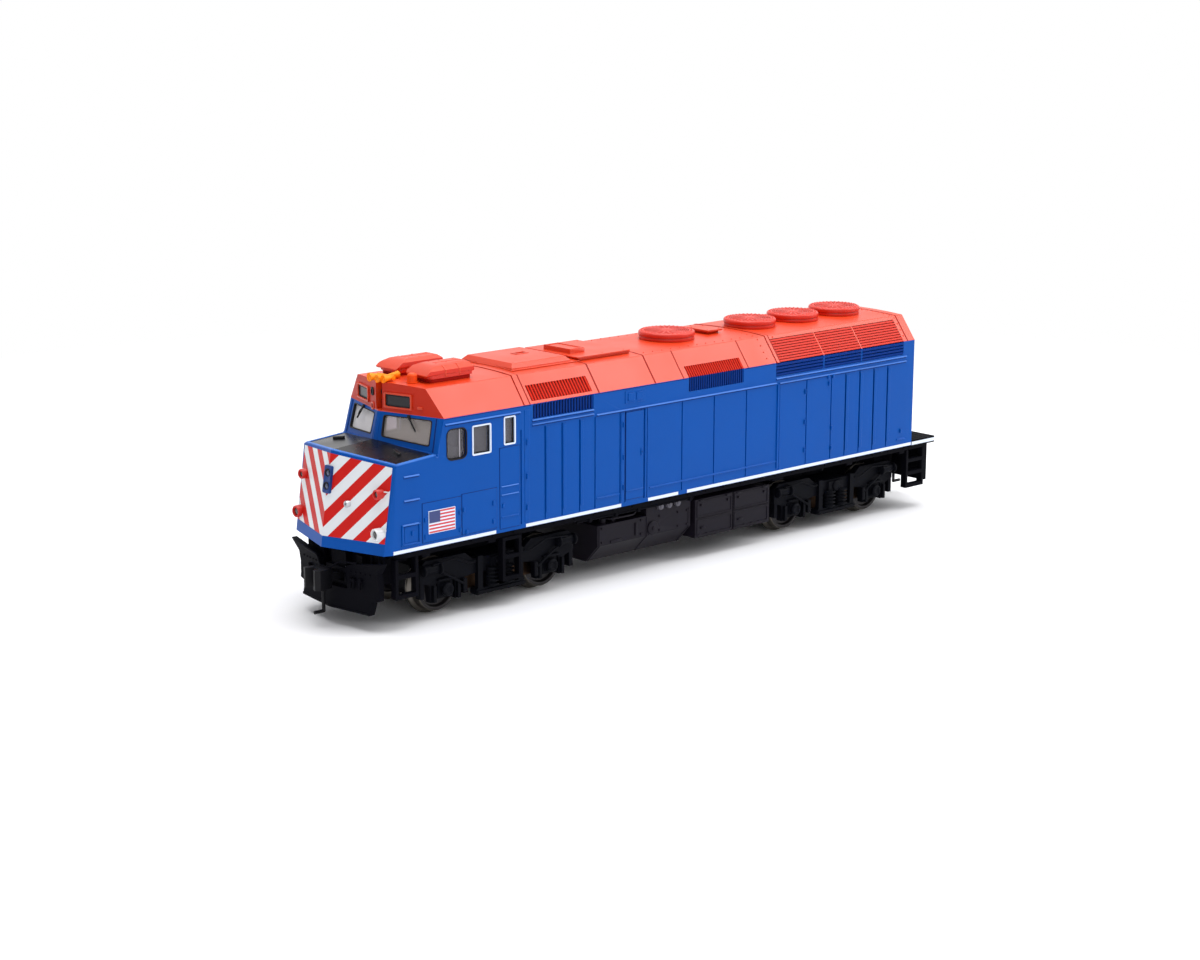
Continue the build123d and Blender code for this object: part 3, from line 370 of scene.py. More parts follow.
for *area, proud in (
        (*MACHINE_DOOR, 0.1), (7.75, 8.05, 10.6, 22.4, 0.05), (11.7, 12.3, 10.6, 22.4, 0.05),
        (-17.3, -16.95, 10.7, 22.5, 0.16), (27.95, 28.75, 10.6, 24.9, 0.05),  # joint covers of the hood
        (*CAB_DOOR, 0.07),  # below its window
        (8.15, 11.65, 23.5, 25.15, 0.08), (8.6, 9.7, 23.8, 24.8, 0.18),  # vent above the door
        (10.1, 11.2, 23.8, 24.8, 0.18),
        (*EQUIPMENT_DOORS[0], 0.07), (*EQUIPMENT_DOORS[1], 0.07),
        (45.75, 47.75, 11.15, 13.1, 0.05), (45.35, 45.6, 10.9, 13.4, 0.13),  # stirrup on the nose side
        (47.95, 48.2, 10.9, 13.4, 0.13)):
    on_side(bm, *area, proud)
for x, z in (  # hinges and latches
        (39.25, 13.6), (38.6, 13.8), (44.6, 13.5), (39.25, 11.4), (33.9, 13.9), (33.9, 11.6), (38.2, 10.95),
        (44.6, 11.4), (32.35, 13.3), (46.6, 12.2), (8.75, 17.0), (8.75, 16.6), (-27.3, 22.3), (-28.3, 22.3),
        (-27.5, 21.3), (-28.2, 14.9), (-28.2, 12.0), (-43.2, 12.4)):
    on_side(bm, x - 0.16, x + 0.16, z - 0.28, z + 0.28, 0.2)
for x0, x1, z0, z1 in (*EQUIPMENT_DOORS, CAB_DOOR, MACHINE_DOOR):  # shadow in the joint round each door
    for a, b, c, d in ((x0, x1, z0, z0), (x0, x1, z1, z1), (x0, x0, z0, z1), (x1, x1, z0, z1)):
        on_side(bm, a - 0.07, b + 0.07, c - 0.07, d + 0.07, 0.03, 2)
for x0, x1 in ((-16.5, -10.5), (0.3, 16.9), (27.6, 41.5)):  # painted shadow line below the eave
    on_side(bm, x0, x1, EAVE - 0.17, EAVE - 0.05, 0.012, 2)
for x in (11.95, -22.6, 28.4):  # short upright pins
    for z in (12.5, 16.5, 20.8):
        rod(bm, (x, HALF + 0.1, z - 0.35), (x, HALF + 0.1, z + 0.35), 0.13)
twin(bm)
finished(bm, "side_relief", "body_paint", [shell_paint, highlight_blue, joint_and_shadow_blue], width=0.03)

# ---- Intake grilles ----
# Cooling-air grilles moulded over the roof slope and the top of each side. Those for the machine room
# have upright bars and the three radiator bays have level louvres. The slats are one body colour each.
slope_turn = atan2(SLOPE_RISE, SLOPE_IN)
AT_EAVE = Matrix.Translation((0, HALF, EAVE))
SLOPE = AT_EAVE @ Matrix(((1, 0, 0), (0, -cos(slope_turn), sin(slope_turn)),
                          (0, sin(slope_turn), cos(slope_turn)))).to_4x4()
UPRIGHT = AT_EAVE @ OUTWARD


def node_group(name, **sockets):
    """Empty geometry tree with named inputs, its inputs, and room for one geometry output."""
    made = bpy.data.node_groups.new(name, "GeometryNodeTree")
    made.interface.new_socket("Geometry", in_out="OUTPUT", socket_type="NodeSocketGeometry")
    for label, kind in sockets.items():
        made.interface.new_socket(label, in_out="INPUT", socket_type="NodeSocket" + kind)
    return made, add(made, "NodeGroupInput").outputs


def close_group(tree, geometry, finish):
    """Ends a tree: instances become real, and they take their finish."""
    real = add(tree, "GeometryNodeRealizeInstances", {0: geometry})
    dressed = add(tree, "GeometryNodeSetMaterial", {"Geometry": real, "Material": finish})
    add(tree, "NodeGroupOutput", {0: dressed})


def row_group(name, primitive, fixed, **sizes):
    """Tree that repeats one primitive along a line; sizes are inputs of the primitive."""
    made, given = node_group(
        name, Count="Int", Start="Vector", Step="Vector", Turn="Vector", Finish="Material", **sizes)
    line = add(made, "GeometryNodeMeshLine", {
        "Count": given["Count"], "Start Location": given["Start"], "Offset": given["Step"]})
    item = add(made, primitive, {**fixed, **{key: given[key] for key in sizes}})
    rows = add(made, "GeometryNodeInstanceOnPoints", {
        "Points": line, "Instance": item, "Rotation": given["Turn"]})
    close_group(made, rows, given["Finish"])
    return made


def grown(tree, finish, turn=(0, 0, 0), count=0, **sizes):
    """Plain mesh made by a tree. In sizes a whole number is a count, and the rest is in millimetres."""
    holder = bpy.data.objects.new("holder", bpy.data.meshes.new("holder"))
    bpy.context.scene.collection.objects.link(holder)
    modifier = holder.modifiers.new("grown", "NODES")
    modifier.node_group = tree
    values = {"Finish": finish, "Turn": Vector(turn), "Count": count}
    for key, size in sizes.items():
        size = Vector(size) if isinstance(size, tuple) else size
        values[key] = size if isinstance(size, int) else size * MM
    for item in tree.interface.items_tree:
        if item.in_out == "INPUT" and item.name in values:
            modifier[item.identifier] = values[item.name]
    mesh = bpy.data.meshes.new_from_object(holder.evaluated_get(bpy.context.evaluated_depsgraph_get()))
    holder.modifiers.remove(modifier)
    bpy.data.objects.remove(holder)
    return mesh


def gathered(name, slot, meshes, body="locomotive", both=False, smooth=0):
    """One plain piece out of several grown meshes, on both sides if asked."""
    bm = bmesh.new()
    finishes = []
    for mesh in meshes:
        first = len(bm.faces)
        bm.from_mesh(mesh)
        bm.faces.ensure_lookup_table()
        for face in bm.faces[first:]:
            material = mesh.materials[face.material_index]
            if material not in finishes:
                finishes.append(material)
            face.material_index = finishes.index(material)
        bpy.data.meshes.remove(mesh)
    if both:
        twin(bm)
    finished(bm, name, slot, finishes, body=body, width=0, angle=smooth, scale=1)


slat_tree = row_group("slat bank", "GeometryNodeMeshCube", {}, Size="Vector")
grille_red = finish_of("sprayed_red_slats", "D22E1B", 0.42, 0.3, blotch=0.02)
vane_red = finish_of("thinly_sprayed_red_vanes", "CC2612", 0.5, 0.08, blotch=0.02)
# the blue vanes are darker than the body blue: painted shade
shaded_blue_vanes = finish_of("blue_vanes_darkened_as_painted_shade", "04317E", 0.5, 0.05, blotch=0.02)


def slats(place, x0, x1, low, high, pitch, material, lean=0):
    """Bank of bars over a rectangle of a plane: upright ones, or level ones that lean."""
    turn = (place.to_3x3() @ Matrix.Diagonal((-1, 1, 1)) @ Matrix.Rotation(radians(lean), 3, "X")).to_euler()
    if lean:
        count = round((high - low) / pitch)
        start = place @ Vector(((x0 + x1) / 2, low + pitch / 2, -0.14))
        step, size = place.to_3x3() @ Vector((0, pitch, 0)), (x1 - x0, pitch * 0.66, 0.3)
    else:
        count = round((x1 - x0) / pitch)
        start = place @ Vector((x0 + pitch / 2, (low + high) / 2, -0.07))
        step, size = (pitch, 0, 0), (pitch * 0.42, high - low, 0.14)
    return grown(slat_tree, material, turn, count, Start=start, Step=step, Size=size)


slope_long = hypot(SLOPE_IN, SLOPE_RISE)
GRILLE_FOOT = -1.88  # lower end of the side grilles, below the eave
LOUVRE_LEAN = 18
banks = []
for x0, x1, low, high, pitch in ((17.15, 27.3, 0.45, 0.62, 0.48), (-10.28, 0.08, 0.04, 0.4, 0.41)):
    banks.append(slats(SLOPE, x0, x1, low, high * slope_long, pitch, vane_red))
    banks.append(slats(UPRIGHT, x0, x1, GRILLE_FOOT, -0.02, pitch, shaded_blue_vanes))
for x0, x1 in ((-26.26, -16.7), (-34.21, -26.5), (-43.4, -34.45)):
    banks.append(slats(SLOPE, x0, x1, 0.06, 0.86 * slope_long, 0.4, grille_red, LOUVRE_LEAN))
    banks.append(slats(UPRIGHT, x0, x1, GRILLE_FOOT, -0.06, 0.45, shaded_blue_vanes, LOUVRE_LEAN))
gathered("grille_slats", "body_paint", banks, both=True)

bm = bmesh.new()  # plain strip along the eave below the front grille
brick(bm, 17.1, 27.38, 0.0, 0.42, -0.4, 0.0, 0, SLOPE)
twin(bm)
finished(bm, "grille_eave_strips", "body_paint", [shell_paint], width=0.03)

# ---- Joint covers on the roof ----
# Two raised bands with a fine line each side, and plain fine lines, where the roof hatches of the real
# machine meet. They follow the body's outline and are part of the moulding. Rivets run beside the rear
# band, at the rear end and near both edges of the arched middle.
FLAT = HALF - SLOPE_IN  # half the width of the arched middle
ARCH = [(FLAT * n / 8, SHOULDER + (CROWN - SHOULDER) * (1 - (n / 8) ** 2)) for n in range(8, -9, -1)]
OUTLINE = [(HALF, EAVE)] + ARCH + [(-HALF, EAVE)]


def roof_band(bm, x0, x1, lift, paint=0, line=OUTLINE):
    """Strip over the roof that stands proud of it by lift."""
    rows = []
    for n, (y, z) in enumerate(line):
        ahead, behind = Vector(line[min(n + 1, len(line) - 1)]), Vector(line[max(n - 1, 0)])
        along = (behind - ahead).normalized()
        out = Vector((-along.y, along.x)) * (1 if along.x >= 0 else -1)
        low, high = Vector((y, z)) - out * 0.1, Vector((y, z)) + out * lift
        rows.append([(x, *p) for x, p in ((x0, low), (x1, low), (x1, high), (x0, high))])
    skin(bm, rows, paint)


# dark red for the roof joint lines, and as a painted shadow under the hatch cover's front edge
seam_shadow = finish_of("dark_red_joint_line_and_painted_shadow", "8E1A0E", 0.5, 0.1, blotch=0.02)
roof_paint = finish_of("sprayed_orange_red_abs", RED, 0.36, **SPRAY)
bm = bmesh.new()
for x0, x1 in ((27.95, 28.7), (-17.3, -16.85)):
    roof_band(bm, x0, x1, 0.07)
    roof_band(bm, x0 - 0.24, x0, 0.03, 1)
    roof_band(bm, x1, x1 + 0.14, 0.02, 1)
for x in (16.15, 6.2, -44.3):
    roof_band(bm, x - 0.11, x + 0.11, 0.02, 1)
for side in (1, -1):
    for x in (1.05, -11.2):
        roof_band(bm, x - 0.08, x + 0.08, 0.02, 1, [(HALF * side, EAVE), (FLAT * side, SHOULDER)])
finished(bm, "roof_joints", "roof_red", [roof_paint, seam_shadow], width=0)

rivet_tree = row_group("rivet row", "GeometryNodeMeshIcoSphere", {"Subdivisions": 2}, Radius="Float")


def rivets(count, start, step, material, radius=0.11):
    return grown(rivet_tree, material, count=count, Start=start, Step=step, Radius=radius)


up_slope = SLOPE.to_3x3() @ Vector((0, 1.0, 0))
red_rows = [rivets(4, SLOPE @ Vector((x, 0.9, 0.0)), up_slope, roof_paint) for x in (-15.3, -18.3, -43.9)]
red_rows += [rivets(6, (x, 0.8, CROWN - 0.02), (0, 1.05, -0.035), roof_paint) for x in (-15.3, -43.9)]
red_rows.append(rivets(12, (5.2, 5.95, CROWN - 0.18), (-1.65, 0, 0), roof_paint, 0.09))
gathered("roof_rivets", "roof_red", red_rows, both=True, smooth=40)

# ---- Roof hatches and plate ----
# Three lift-off covers moulded on the roof: a lid with sloping sides, a flat engine hatch with its exhaust
# box, and a small plate between the fans. Sprayed orange-red with the roof.
for node in ("front_hatch", "engine_hatch", "roof_plate"):
    from_cad(node, node + "_moulding", "roof_red", roof_paint, width=0.05)
lid_low, lid_high = extents("front_hatch")
engine_low, engine_high = extents("engine_hatch")
plate_low, plate_high = extents("roof_plate")


def screws(bm, xs, ys, low, high, radius=0.13, sides=12):
    """Upright screws that taper to their heads, at every x and y."""
    for x in xs:
        for y in ys:
            rod(bm, (x, y, low), (x, y, high), radius, 0.1, sides)


bm = bmesh.new()
vent = lid_low.x + 4.95, -0.8
hoop(bm, rounded(2.2, 1.3, 0.15, *vent), rounded(1.66, 0.76, 0.1, *vent), CROWN + 0.6, CROWN + 0.79)
lip_rear, lip_front = engine_high.x - 3.05, engine_high.x - 0.85  # lips of the exhaust box
lip = engine_high.z - 0.1, engine_high.z + 0.09
for x in (lip_rear, lip_front):
    brick(bm, x - 0.12, x + 0.12, -2.55, 2.55, *lip)
for y in (-2.4, 2.4):
    brick(bm, lip_rear, lip_front, y - 0.12, y + 0.12, *lip)
brick(bm, engine_low.x + 0.1, engine_high.x + 0.3, -5.2, 5.2, CROWN + 0.2, CROWN + 0.38)  # cover sheet
brick(bm, engine_high.x - 0.1, engine_high.x + 0.22, -5.1, 5.1, CROWN - 0.3, CROWN + 0.2, 1)  # its painted shadow
screws(bm, (engine_low.x + 0.6, engine_high.x - 4.6), (-4.5, 4.5), CROWN, CROWN + 0.42)
screws(bm, (lid_low.x + 2.4, lid_high.x - 1.2), (-3.9, 3.9), CROWN + 0.4, CROWN + 0.75)
screws(bm, (plate_low.x + 0.35, plate_high.x - 0.35), (-1.55, 1.55), plate_high.z - 0.1, plate_high.z + 0.07,
       0.14, 10)
finished(bm, "hatch_fittings", "roof_red", [roof_paint, seam_shadow])

# ---- Roof fans ----
# Four fan housings with a wide rim over a neck. Each is closed by a round guard of concentric wires and
# radial bars over a flat rotor. Moulded in ABS and sprayed orange-red all over.
guard_tree, given = node_group(
    "fan guard", Rings="Int", First="Float", Pitch="Float", Wire="Float", Bars="Int", Length="Float",
    Studs="Int", Circle="Float", Centre="Vector", Finish="Material")


def guard(kind, values=None, **settings):
    return add(guard_tree, kind, values, **settings)


def stack(count, item, **placing):
    """Copies of an item at the guard's centre."""
    points = guard("GeometryNodeMeshLine", {
        "Count": count, "Start Location": given["Centre"], "Offset": (0, 0, 0)})
    return guard("GeometryNodeInstanceOnPoints", {"Points": points, "Instance": item, **placing})


counter = guard("GeometryNodeInputIndex")
radius = guard("ShaderNodeMath", {0: counter, 1: given["Pitch"], 2: given["First"]}, operation="MULTIPLY_ADD")
unit_ring = guard("GeometryNodeCurvePrimitiveCircle", {"Resolution": 40, "Radius": 1.0})
loops = guard("GeometryNodeRealizeInstances", {0: stack(given["Rings"], unit_ring, Scale=radius)})
round_wire = guard("GeometryNodeCurvePrimitiveCircle", {"Resolution": 6, "Radius": given["Wire"]})
rings = guard("GeometryNodeCurveToMesh", {"Curve": loops, "Profile Curve": round_wire})
share = guard("ShaderNodeMath", {0: 2 * pi, 1: given["Bars"]}, operation="DIVIDE")
angle = guard("ShaderNodeMath", {0: counter, 1: share}, operation="MULTIPLY")
bar = guard("GeometryNodeMeshCube", {
    "Size": guard("ShaderNodeCombineXYZ", {"X": given["Length"], "Y": 0.16 * MM, "Z": 0.14 * MM})})
half_out = guard("ShaderNodeMath", {0: given["Length"], 1: 0.5, 2: 0.6 * MM}, operation="MULTIPLY_ADD")
outward = guard("ShaderNodeCombineXYZ", {"X": half_out})
spoke = guard("GeometryNodeTransform", {"Geometry": bar, "Translation": outward})
spokes = stack(given["Bars"], spoke, Rotation=guard("ShaderNodeCombineXYZ", {"Z": angle}))
rim = guard("GeometryNodeMeshCircle", {"Vertices": given["Studs"], "Radius": given["Circle"]})
seated_rim = guard("GeometryNodeTransform", {"Geometry": rim, "Translation": given["Centre"]})
stud = guard("GeometryNodeMeshIcoSphere", {"Radius": 0.13 * MM, "Subdivisions": 2})
studs = guard("GeometryNodeInstanceOnPoints", {"Points": seated_rim, "Instance": stud})
whole = guard("GeometryNodeJoinGeometry")
for part in (rings, spokes, studs):
    guard_tree.links.new(part.outputs[0], whole.inputs[0])
close_group(guard_tree, whole, given["Finish"])


def turned(spot, axis, degrees=90):
    """Place at a spot, turned about one axis."""
    return Matrix.Translation(spot) @ Matrix.Rotation(radians(degrees), 4, axis)


fan_paint = finish_of("sprayed_red_fan_housing", "CC260C", 0.36, 0.42, grain_mm=0.5, grain=0.05, blotch=0.03)
# darker red for the fan well floors and the rotors below the guards: painted shade; it also colours a lamp
# ring on the brow
fan_shade = finish_of("dark_red_for_painted_shade_and_a_lamp_ring", "84160B", 0.55, 0.2, blotch=0.05)
guards = []
bm = bmesh.new()
for node in ("brake_fan", "radiator_fan_front", "radiator_fan_middle", "radiator_fan_rear"):
    housing = from_cad(node, node + "_housing", "fan_red", fan_paint, fan_shade, width=0.05)
    low, high = extents(node)
    middle, top = ((low + high) / 2).x, high.z
    for face in housing.data.polygons:  # floor of the well, in painted shade
        spot = face.center / MM
        if face.normal.z > 0.9 and top - 0.7 < spot.z < top - 0.3 and hypot(spot.x - middle, spot.y) < 2.9:
            face.material_index = 1
    outer, first = high.y - 0.75, 0.95
    guards.append(grown(
        guard_tree, fan_paint, Rings=9, First=first, Pitch=(outer - first) / 8, Wire=0.075, Bars=20, Studs=36,
        Length=outer - 0.55, Circle=outer + 0.32, Centre=(middle, 0, top - 0.04)))
    for n in range(9):  # rotor blades below the guard, in painted shade
        blade = turned((middle, 0, top - 0.33), "Z", 40 * n) @ Matrix.Rotation(radians(14), 4, "X")
        slab(bm, [(0.7, -0.32), (2.8, -0.7), (2.8, 0.55), (0.7, 0.3)], -0.035, 0.035, blade, 1)
    lathe(bm, [(0, 0.1), (0.45, 0.09), (0.8, 0.0), (0.85, -0.2), (0, -0.2)],
          Matrix.Translation((middle, 0, top)), 24)  # hub
finished(bm, "fan_rotors", "fan_red", [fan_paint, fan_shade], width=0)
gathered("fan_guards", "fan_red", guards, smooth=40)

# ---- Air-conditioner pods, horns and beacon ----
# Two rounded pods with an undercut foot sit on the cab roof, one each side of the middle. Ahead of them are
# a five-chime horn and a small beacon, moulded in orange plastic and plugged into the roof.
# deep red for the pods' undercut foot and the brow recess: painted shade
pod_shade = finish_of("deep_red_painted_shade_below", "A01206", 0.5, 0.12, blotch=0.03)
horn_plastic = finish_of("moulded_orange_abs", "FF8E0C", 0.5, 0.2, grain=0.06)
beacon_plastic = finish_of("moulded_red_orange_abs", "EA4A0A", 0.45, 0.2)
for side in ("left", "right"):
    pod = from_cad("air_conditioner_" + side, "pod_" + side, "roof_red", roof_paint, fan_paint, pod_shade,
                   width=0.12, segments=3)
    # undercut foot faces take painted shade, and side faces the deeper fan red as painted shade
    for face in pod.data.polygons:
        if face.center.z / MM < CROWN + 0.72 and face.normal.z < 0.5:
            face.material_index = 2
        elif abs(face.normal.y) > 0.9:
            face.material_index = 1
low, high = extents("air_conditioner_left")
bm = bmesh.new()
for x in (low.x + 2.2, low.x + 4.4):  # straps down the pod's side
    slab(bm, [(high.y - 0.3, CROWN + 0.5), (high.y + 0.03, CROWN + 0.5), (high.y, CROWN + 1.32),
              (high.y - 0.66, CROWN + 1.86), (high.y - 0.9, CROWN + 1.8)], x, x + 0.22, ACROSS)
for base, top, inset, paint in ((-0.25, 0.45, 0.22, 2), (0.36, 0.8, 0.02, 3)):  # foot and the side above it, both darker: painted shade
    left, right = low.y + 0.1 + inset, high.y - inset
    back, front = low.x + 0.1 + inset, high.x - 0.42 - inset
    slab(bm, [(back + 0.3, left), (front - 0.5, left), (front, left + 0.5), (front, right - 0.6),
              (front - 0.16, right - 0.2), (front - 0.6, right), (back + 0.3, right), (back, right - 0.3),
              (back, left + 0.3)], CROWN + base, CROWN + top, paint=paint)
screws(bm, (low.x + 0.9, low.x + 3.1, high.x - 2.8), (high.y - 1.7, low.y + 1.1), high.z - 0.1,
       high.z + 0.04, sides=10)
ridge = (low.y + high.y) / 2
brick(bm, low.x + 0.6, high.x - 2.6, ridge - 0.05, ridge + 0.05, high.z - 0.1, high.z + 0.04)
twin(bm)
finished(bm, "pod_fittings", "roof_red", [roof_paint, fan_shade, pod_shade, fan_paint], width=0.02)
from_cad("horns", "horn_cluster", "horn_orange", horn_plastic)
from_cad("beacon", "beacon_dome", "horn_orange", beacon_plastic, width=0.05)
bm = bmesh.new()
for y, x, facing in ((-1.6, 44.2, 1), (-0.95, 44.7, 1), (-0.3, 41.05, -1), (0.35, 44.5, 1), (1.0, 44.1, 1)):
    lathe(bm, [(0, -0.5), (0.24, -0.5), (0.3, -0.2), (0.5, 0.12), (0.48, 0.16), (0.3, 0.0), (0, -0.2)],
          turned((x, y, CROWN + 0.4), "Y", 90 * facing), 20)
finished(bm, "horn_bells", "horn_orange", [horn_plastic], width=0, angle=50)

# ---- Cab windows ----
# Clear acrylic panes with a grey smoke tint clip in from behind. The door's and the rear side windows have
# printed white frames, and the front one has a black rubber seal and a light sash bar behind it.
ACRYLIC = {"grain": 0.0, "blotch": 0.03, "ior": 1.49}
smoked_acrylic = finish_of("smoked_acrylic", "A9A5B5", 0.05, clear=0.92, **ACRYLIC)
frame_white = finish_of("printed_white_film", "DCE6F5", 0.4, grain=0.02, blotch=0.015)
seal_black = finish_of("black_rubber_seal", "0E0D12", 0.6, 0.3, blotch=0.05)
sash_grey = finish_of("grey_acetal_sash", "A9A6AE", 0.5)


def dress(material, *nodes):
    """Gives CAD nodes that stay as they are their finish."""
    for node in nodes:
        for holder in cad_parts[node].material_slots:
            holder.material = material


dress(smoked_acrylic, "cab_glass_left", "cab_glass_right")
bm = bmesh.new()
for x, z, width, height, corner, front in (
        (31.16, EAVE - 2.8, 1.65, 3.35, 0.15, 0), (35.65, EAVE - 3.32, 2.75, 3.5, 0.15, 0),
        (39.56, EAVE - 3.35, 3.1, 3.8, 0.75, 1)):
    rim, proud = (0.14, 0.07) if front else (0.26, 0.08)
    hoop(bm, rounded(width + rim, height + rim, corner + 0.1, x, z),
         rounded(width - 0.12, height - 0.12, max(corner - 0.08, 0.06), x, z), SUNK, proud, ON_SIDE, front)
    hoop(bm, rounded(width - 0.02, height - 0.02, corner, x, z),
         rounded(width - 0.34, height - 0.34, max(corner - 0.12, 0.05), x, z), -0.34, -0.22, ON_SIDE, 1)
for x0, x1, inner, outer, paint in ((38.8, 38.96, 0.42, 0.26, 2), (38.66, 38.78, 0.4, 0.28, 1)):  # sash bar
    brick(bm, x0, x1, HALF - inner, HALF - outer, EAVE - 5.2, EAVE - 1.2, paint)
twin(bm)
finished(bm, "side_window_frames", "board_black", [frame_white, seal_black, sash_grey], width=0.02)

# ---- Windscreen and wipers ----
# Two flat screens lie in the swept and raked cab front, each in a wide black rubber seal. A blue ledge runs
# below them. The wipers are black wire arms with a blade, hung from the upper seal.
# both screens carry a pale diffuse part as painted reflection, the right one almost white
screen_acrylic = finish_of("clear_acrylic_part_painted_reflection", "E3D8D4", 0.06, clear=0.72, **ACRYLIC)
far_screen_painted_reflection = finish_of("whitened_acrylic_painted_reflection", "FAF7F8", 0.06, grain=0.0, blotch=0.02, clear=0.28, ior=1.49)
dress(screen_acrylic, "windscreen")
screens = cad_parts["windscreen"].data
screens.materials.append(far_screen_painted_reflection)
for face in screens.polygons:  # the right one, almost white: painted reflection
    face.material_index = int(face.center.y < 0)
SWEEP = 0.30  # how far the fronts run back for each unit of width
PEAK = 44.285  # middle of the cab front at the eave


def front_face(x, z, rake):
    """Left half of a swept-back front: (outward, up, forward) from its middle."""
    ahead = Vector((1, SWEEP, rake)).normalized()
    outward = Vector((-SWEEP, 1, 0)).normalized()
    axes = Matrix((outward, ahead.cross(outward), ahead)).transposed()
    return Matrix.Translation((x, 0, z)) @ axes.to_4x4()


def eased(points, reach):
    """Outline with its corners rounded."""
    points = [Vector(p) for p in points]
    corners = zip(points[-1:] + points, points, points[1:] + points[:1])
    return [tuple(p) for before, corner, after in corners for p in bend(before, corner, after, reach)]


SCREEN = front_face(PEAK, EAVE, 0.25)


def screen_line(grow, reach):
    return eased([(0.95 - grow, -0.45 + grow), (8.05 + grow, -0.45 + grow), (8.05 + grow, -3.5 - grow),
                  (0.95 - grow, -3.0 - grow)], reach)


bm = bmesh.new()
hoop(bm, screen_line(0.1, 0.4), screen_line(-0.05, 0.3), -0.4, 0.05, SCREEN)
wire(bm, [SCREEN @ Vector(p) for p in ((4.7, -0.35, 0.18), (5.2, -0.95, 0.3), (5.6, -1.45, 0.24))], 0.06)
twin(bm)
finished(bm, "windscreen_seals", "wiper_black", [seal_black], width=0.03)
from_cad("windscreen_wipers", "wiper_blades", "wiper_black", seal_black, width=0.02)
bm = bmesh.new()
for outline, low, high, paint in (
        ([(0.0, -4.0), (9.6, -4.75), (9.6, -4.35), (0.0, -3.6)], -0.1, 0.16, 0),  # ledge
        ([(0.0, -4.02), (9.6, -4.77), (9.6, -4.6), (0.0, -3.85)], 0.1, 0.2, 1),  # its edge in the paler blue: painted highlight
        ([(8.6, -4.2), (8.8, -4.22), (8.8, -0.1), (8.6, -0.1)], -0.1, 0.03, 2),  # dark line at the corner: painted shade beside the corner post
        ([(8.9, -4.4), (9.55, -4.45), (9.55, -0.15), (8.9, -0.15)], -0.1, 0.09, 0),  # corner post
        ([(0.0, -3.7), (0.42, -3.72), (0.42, -0.1), (0.0, -0.1)], -0.1, 0.05, 0)):  # middle post
    slab(bm, outline, low, high, SCREEN, paint)
twin(bm)
finished(bm, "windscreen_surround", "body_paint", [shell_paint, highlight_blue, joint_and_shadow_blue], width=0.05)

# ---- Number boards and brow ----
# The sloping brow over the windscreen holds two dark, blank number panes in raised red frames, which are
# set unevenly, an upright recess with a twin lamp, and small fittings on both sides of it. The frames are
# moulded with the shell; the panes are glossy acrylic.
blank_pane = finish_of("blank_black_acrylic", "16161C", 0.22, 0.35, grain=0.01, blotch=0.05, ior=1.49)
lens_clear = finish_of("clear_lamp_lens", "C9CDD2", 0.08, grain=0.0, blotch=0.02, clear=0.3, coat=1.0,
                       ior=1.49)
dress(blank_pane, "number_board_left", "number_board_right")
LEFT_BROW = front_face(PEAK, EAVE, 0)
MIRRORED = Matrix.Diagonal((1, -1, 1, 1))
RIGHT_BROW = MIRRORED @ LEFT_BROW


def board_line(u0, u1, grow):
    low, high = 0.85 - grow, 2.15 + grow
    return eased([(u0 - grow, low), (u1 + grow, low), (u1 + grow, high), (u0 - grow, high)], 0.22)


bm = bmesh.new()
for brow, u0, u1 in ((LEFT_BROW, 1.3, 4.8), (RIGHT_BROW, 3.4, 6.6)):
    hoop(bm, board_line(u0, u1, 0.32), board_line(u0, u1, 0.1), -0.1, 0.2, brow)
    hoop(bm, board_line(u0, u1, 0.11), board_line(u0, u1, -0.12), -0.28, 0.02, brow, 1)
for v, rim in ((2.15, 1), (0.35, 0)):  # black lamp and red vent beside the recess
    hoop(bm, rounded(0.8, 1.0, 0.25, 1.75, v), rounded(0.42, 0.56, 0.18, 1.75, v), -0.1, 0.14, RIGHT_BROW,
         rim)
    slab(bm, rounded(0.44, 0.58, 0.18, 1.75, v), -0.1, 0.03, RIGHT_BROW, 1)
slab(bm, rounded(0.7, 0.34, 0.1, 6.3, 0.95), -0.1, 0.16, LEFT_BROW)
brick(bm, PEAK - 1.16, PEAK - 1.04, -0.62, 0.62, EAVE + 0.16, EAVE + 3.2, 4)  # dark slab in the recess: painted shade
for v, ring in ((1.0, 2), (2.25, 1)):  # twin lamp in the recess
    spot = turned((PEAK - 0.85, 0, EAVE + v), "Y")
    lathe(bm, [(0, -0.35), (0.5, -0.35), (0.5, 0.0), (0.4, 0.02), (0.34, -0.14), (0, -0.14)], spot, 24, ring)
    lathe(bm, [(0, -0.02), (0.2, -0.05), (0.35, -0.12), (0.35, -0.2), (0, -0.2)], spot, 24, 3)
finished(bm, "brow_frames", "roof_red", [roof_paint, seal_black, fan_shade, lens_clear, pod_shade],
         width=0.03)

# ---- Nose top ----
# The flat nose top falls to the front and to both sides. A gloss black anti-glare panel fills it inside a
# narrow blue rim, and a short black grab handle lies on each half.
NOSE = 51.48
NOSE_TOP = EAVE - 3.9
DECK = Matrix(((1, 0, 0, 0), (0, 1, 0, 0), (-0.075, -0.12, 1, NOSE_TOP + 0.075 * NOSE), (0, 0, 0, 1)))
gloss_black = finish_of("gloss_black_panel_paint", "0E0E14", 0.27, 0.32, grain_mm=0.4, grain=0.0, blotch=0.02)
bm = bmesh.new()
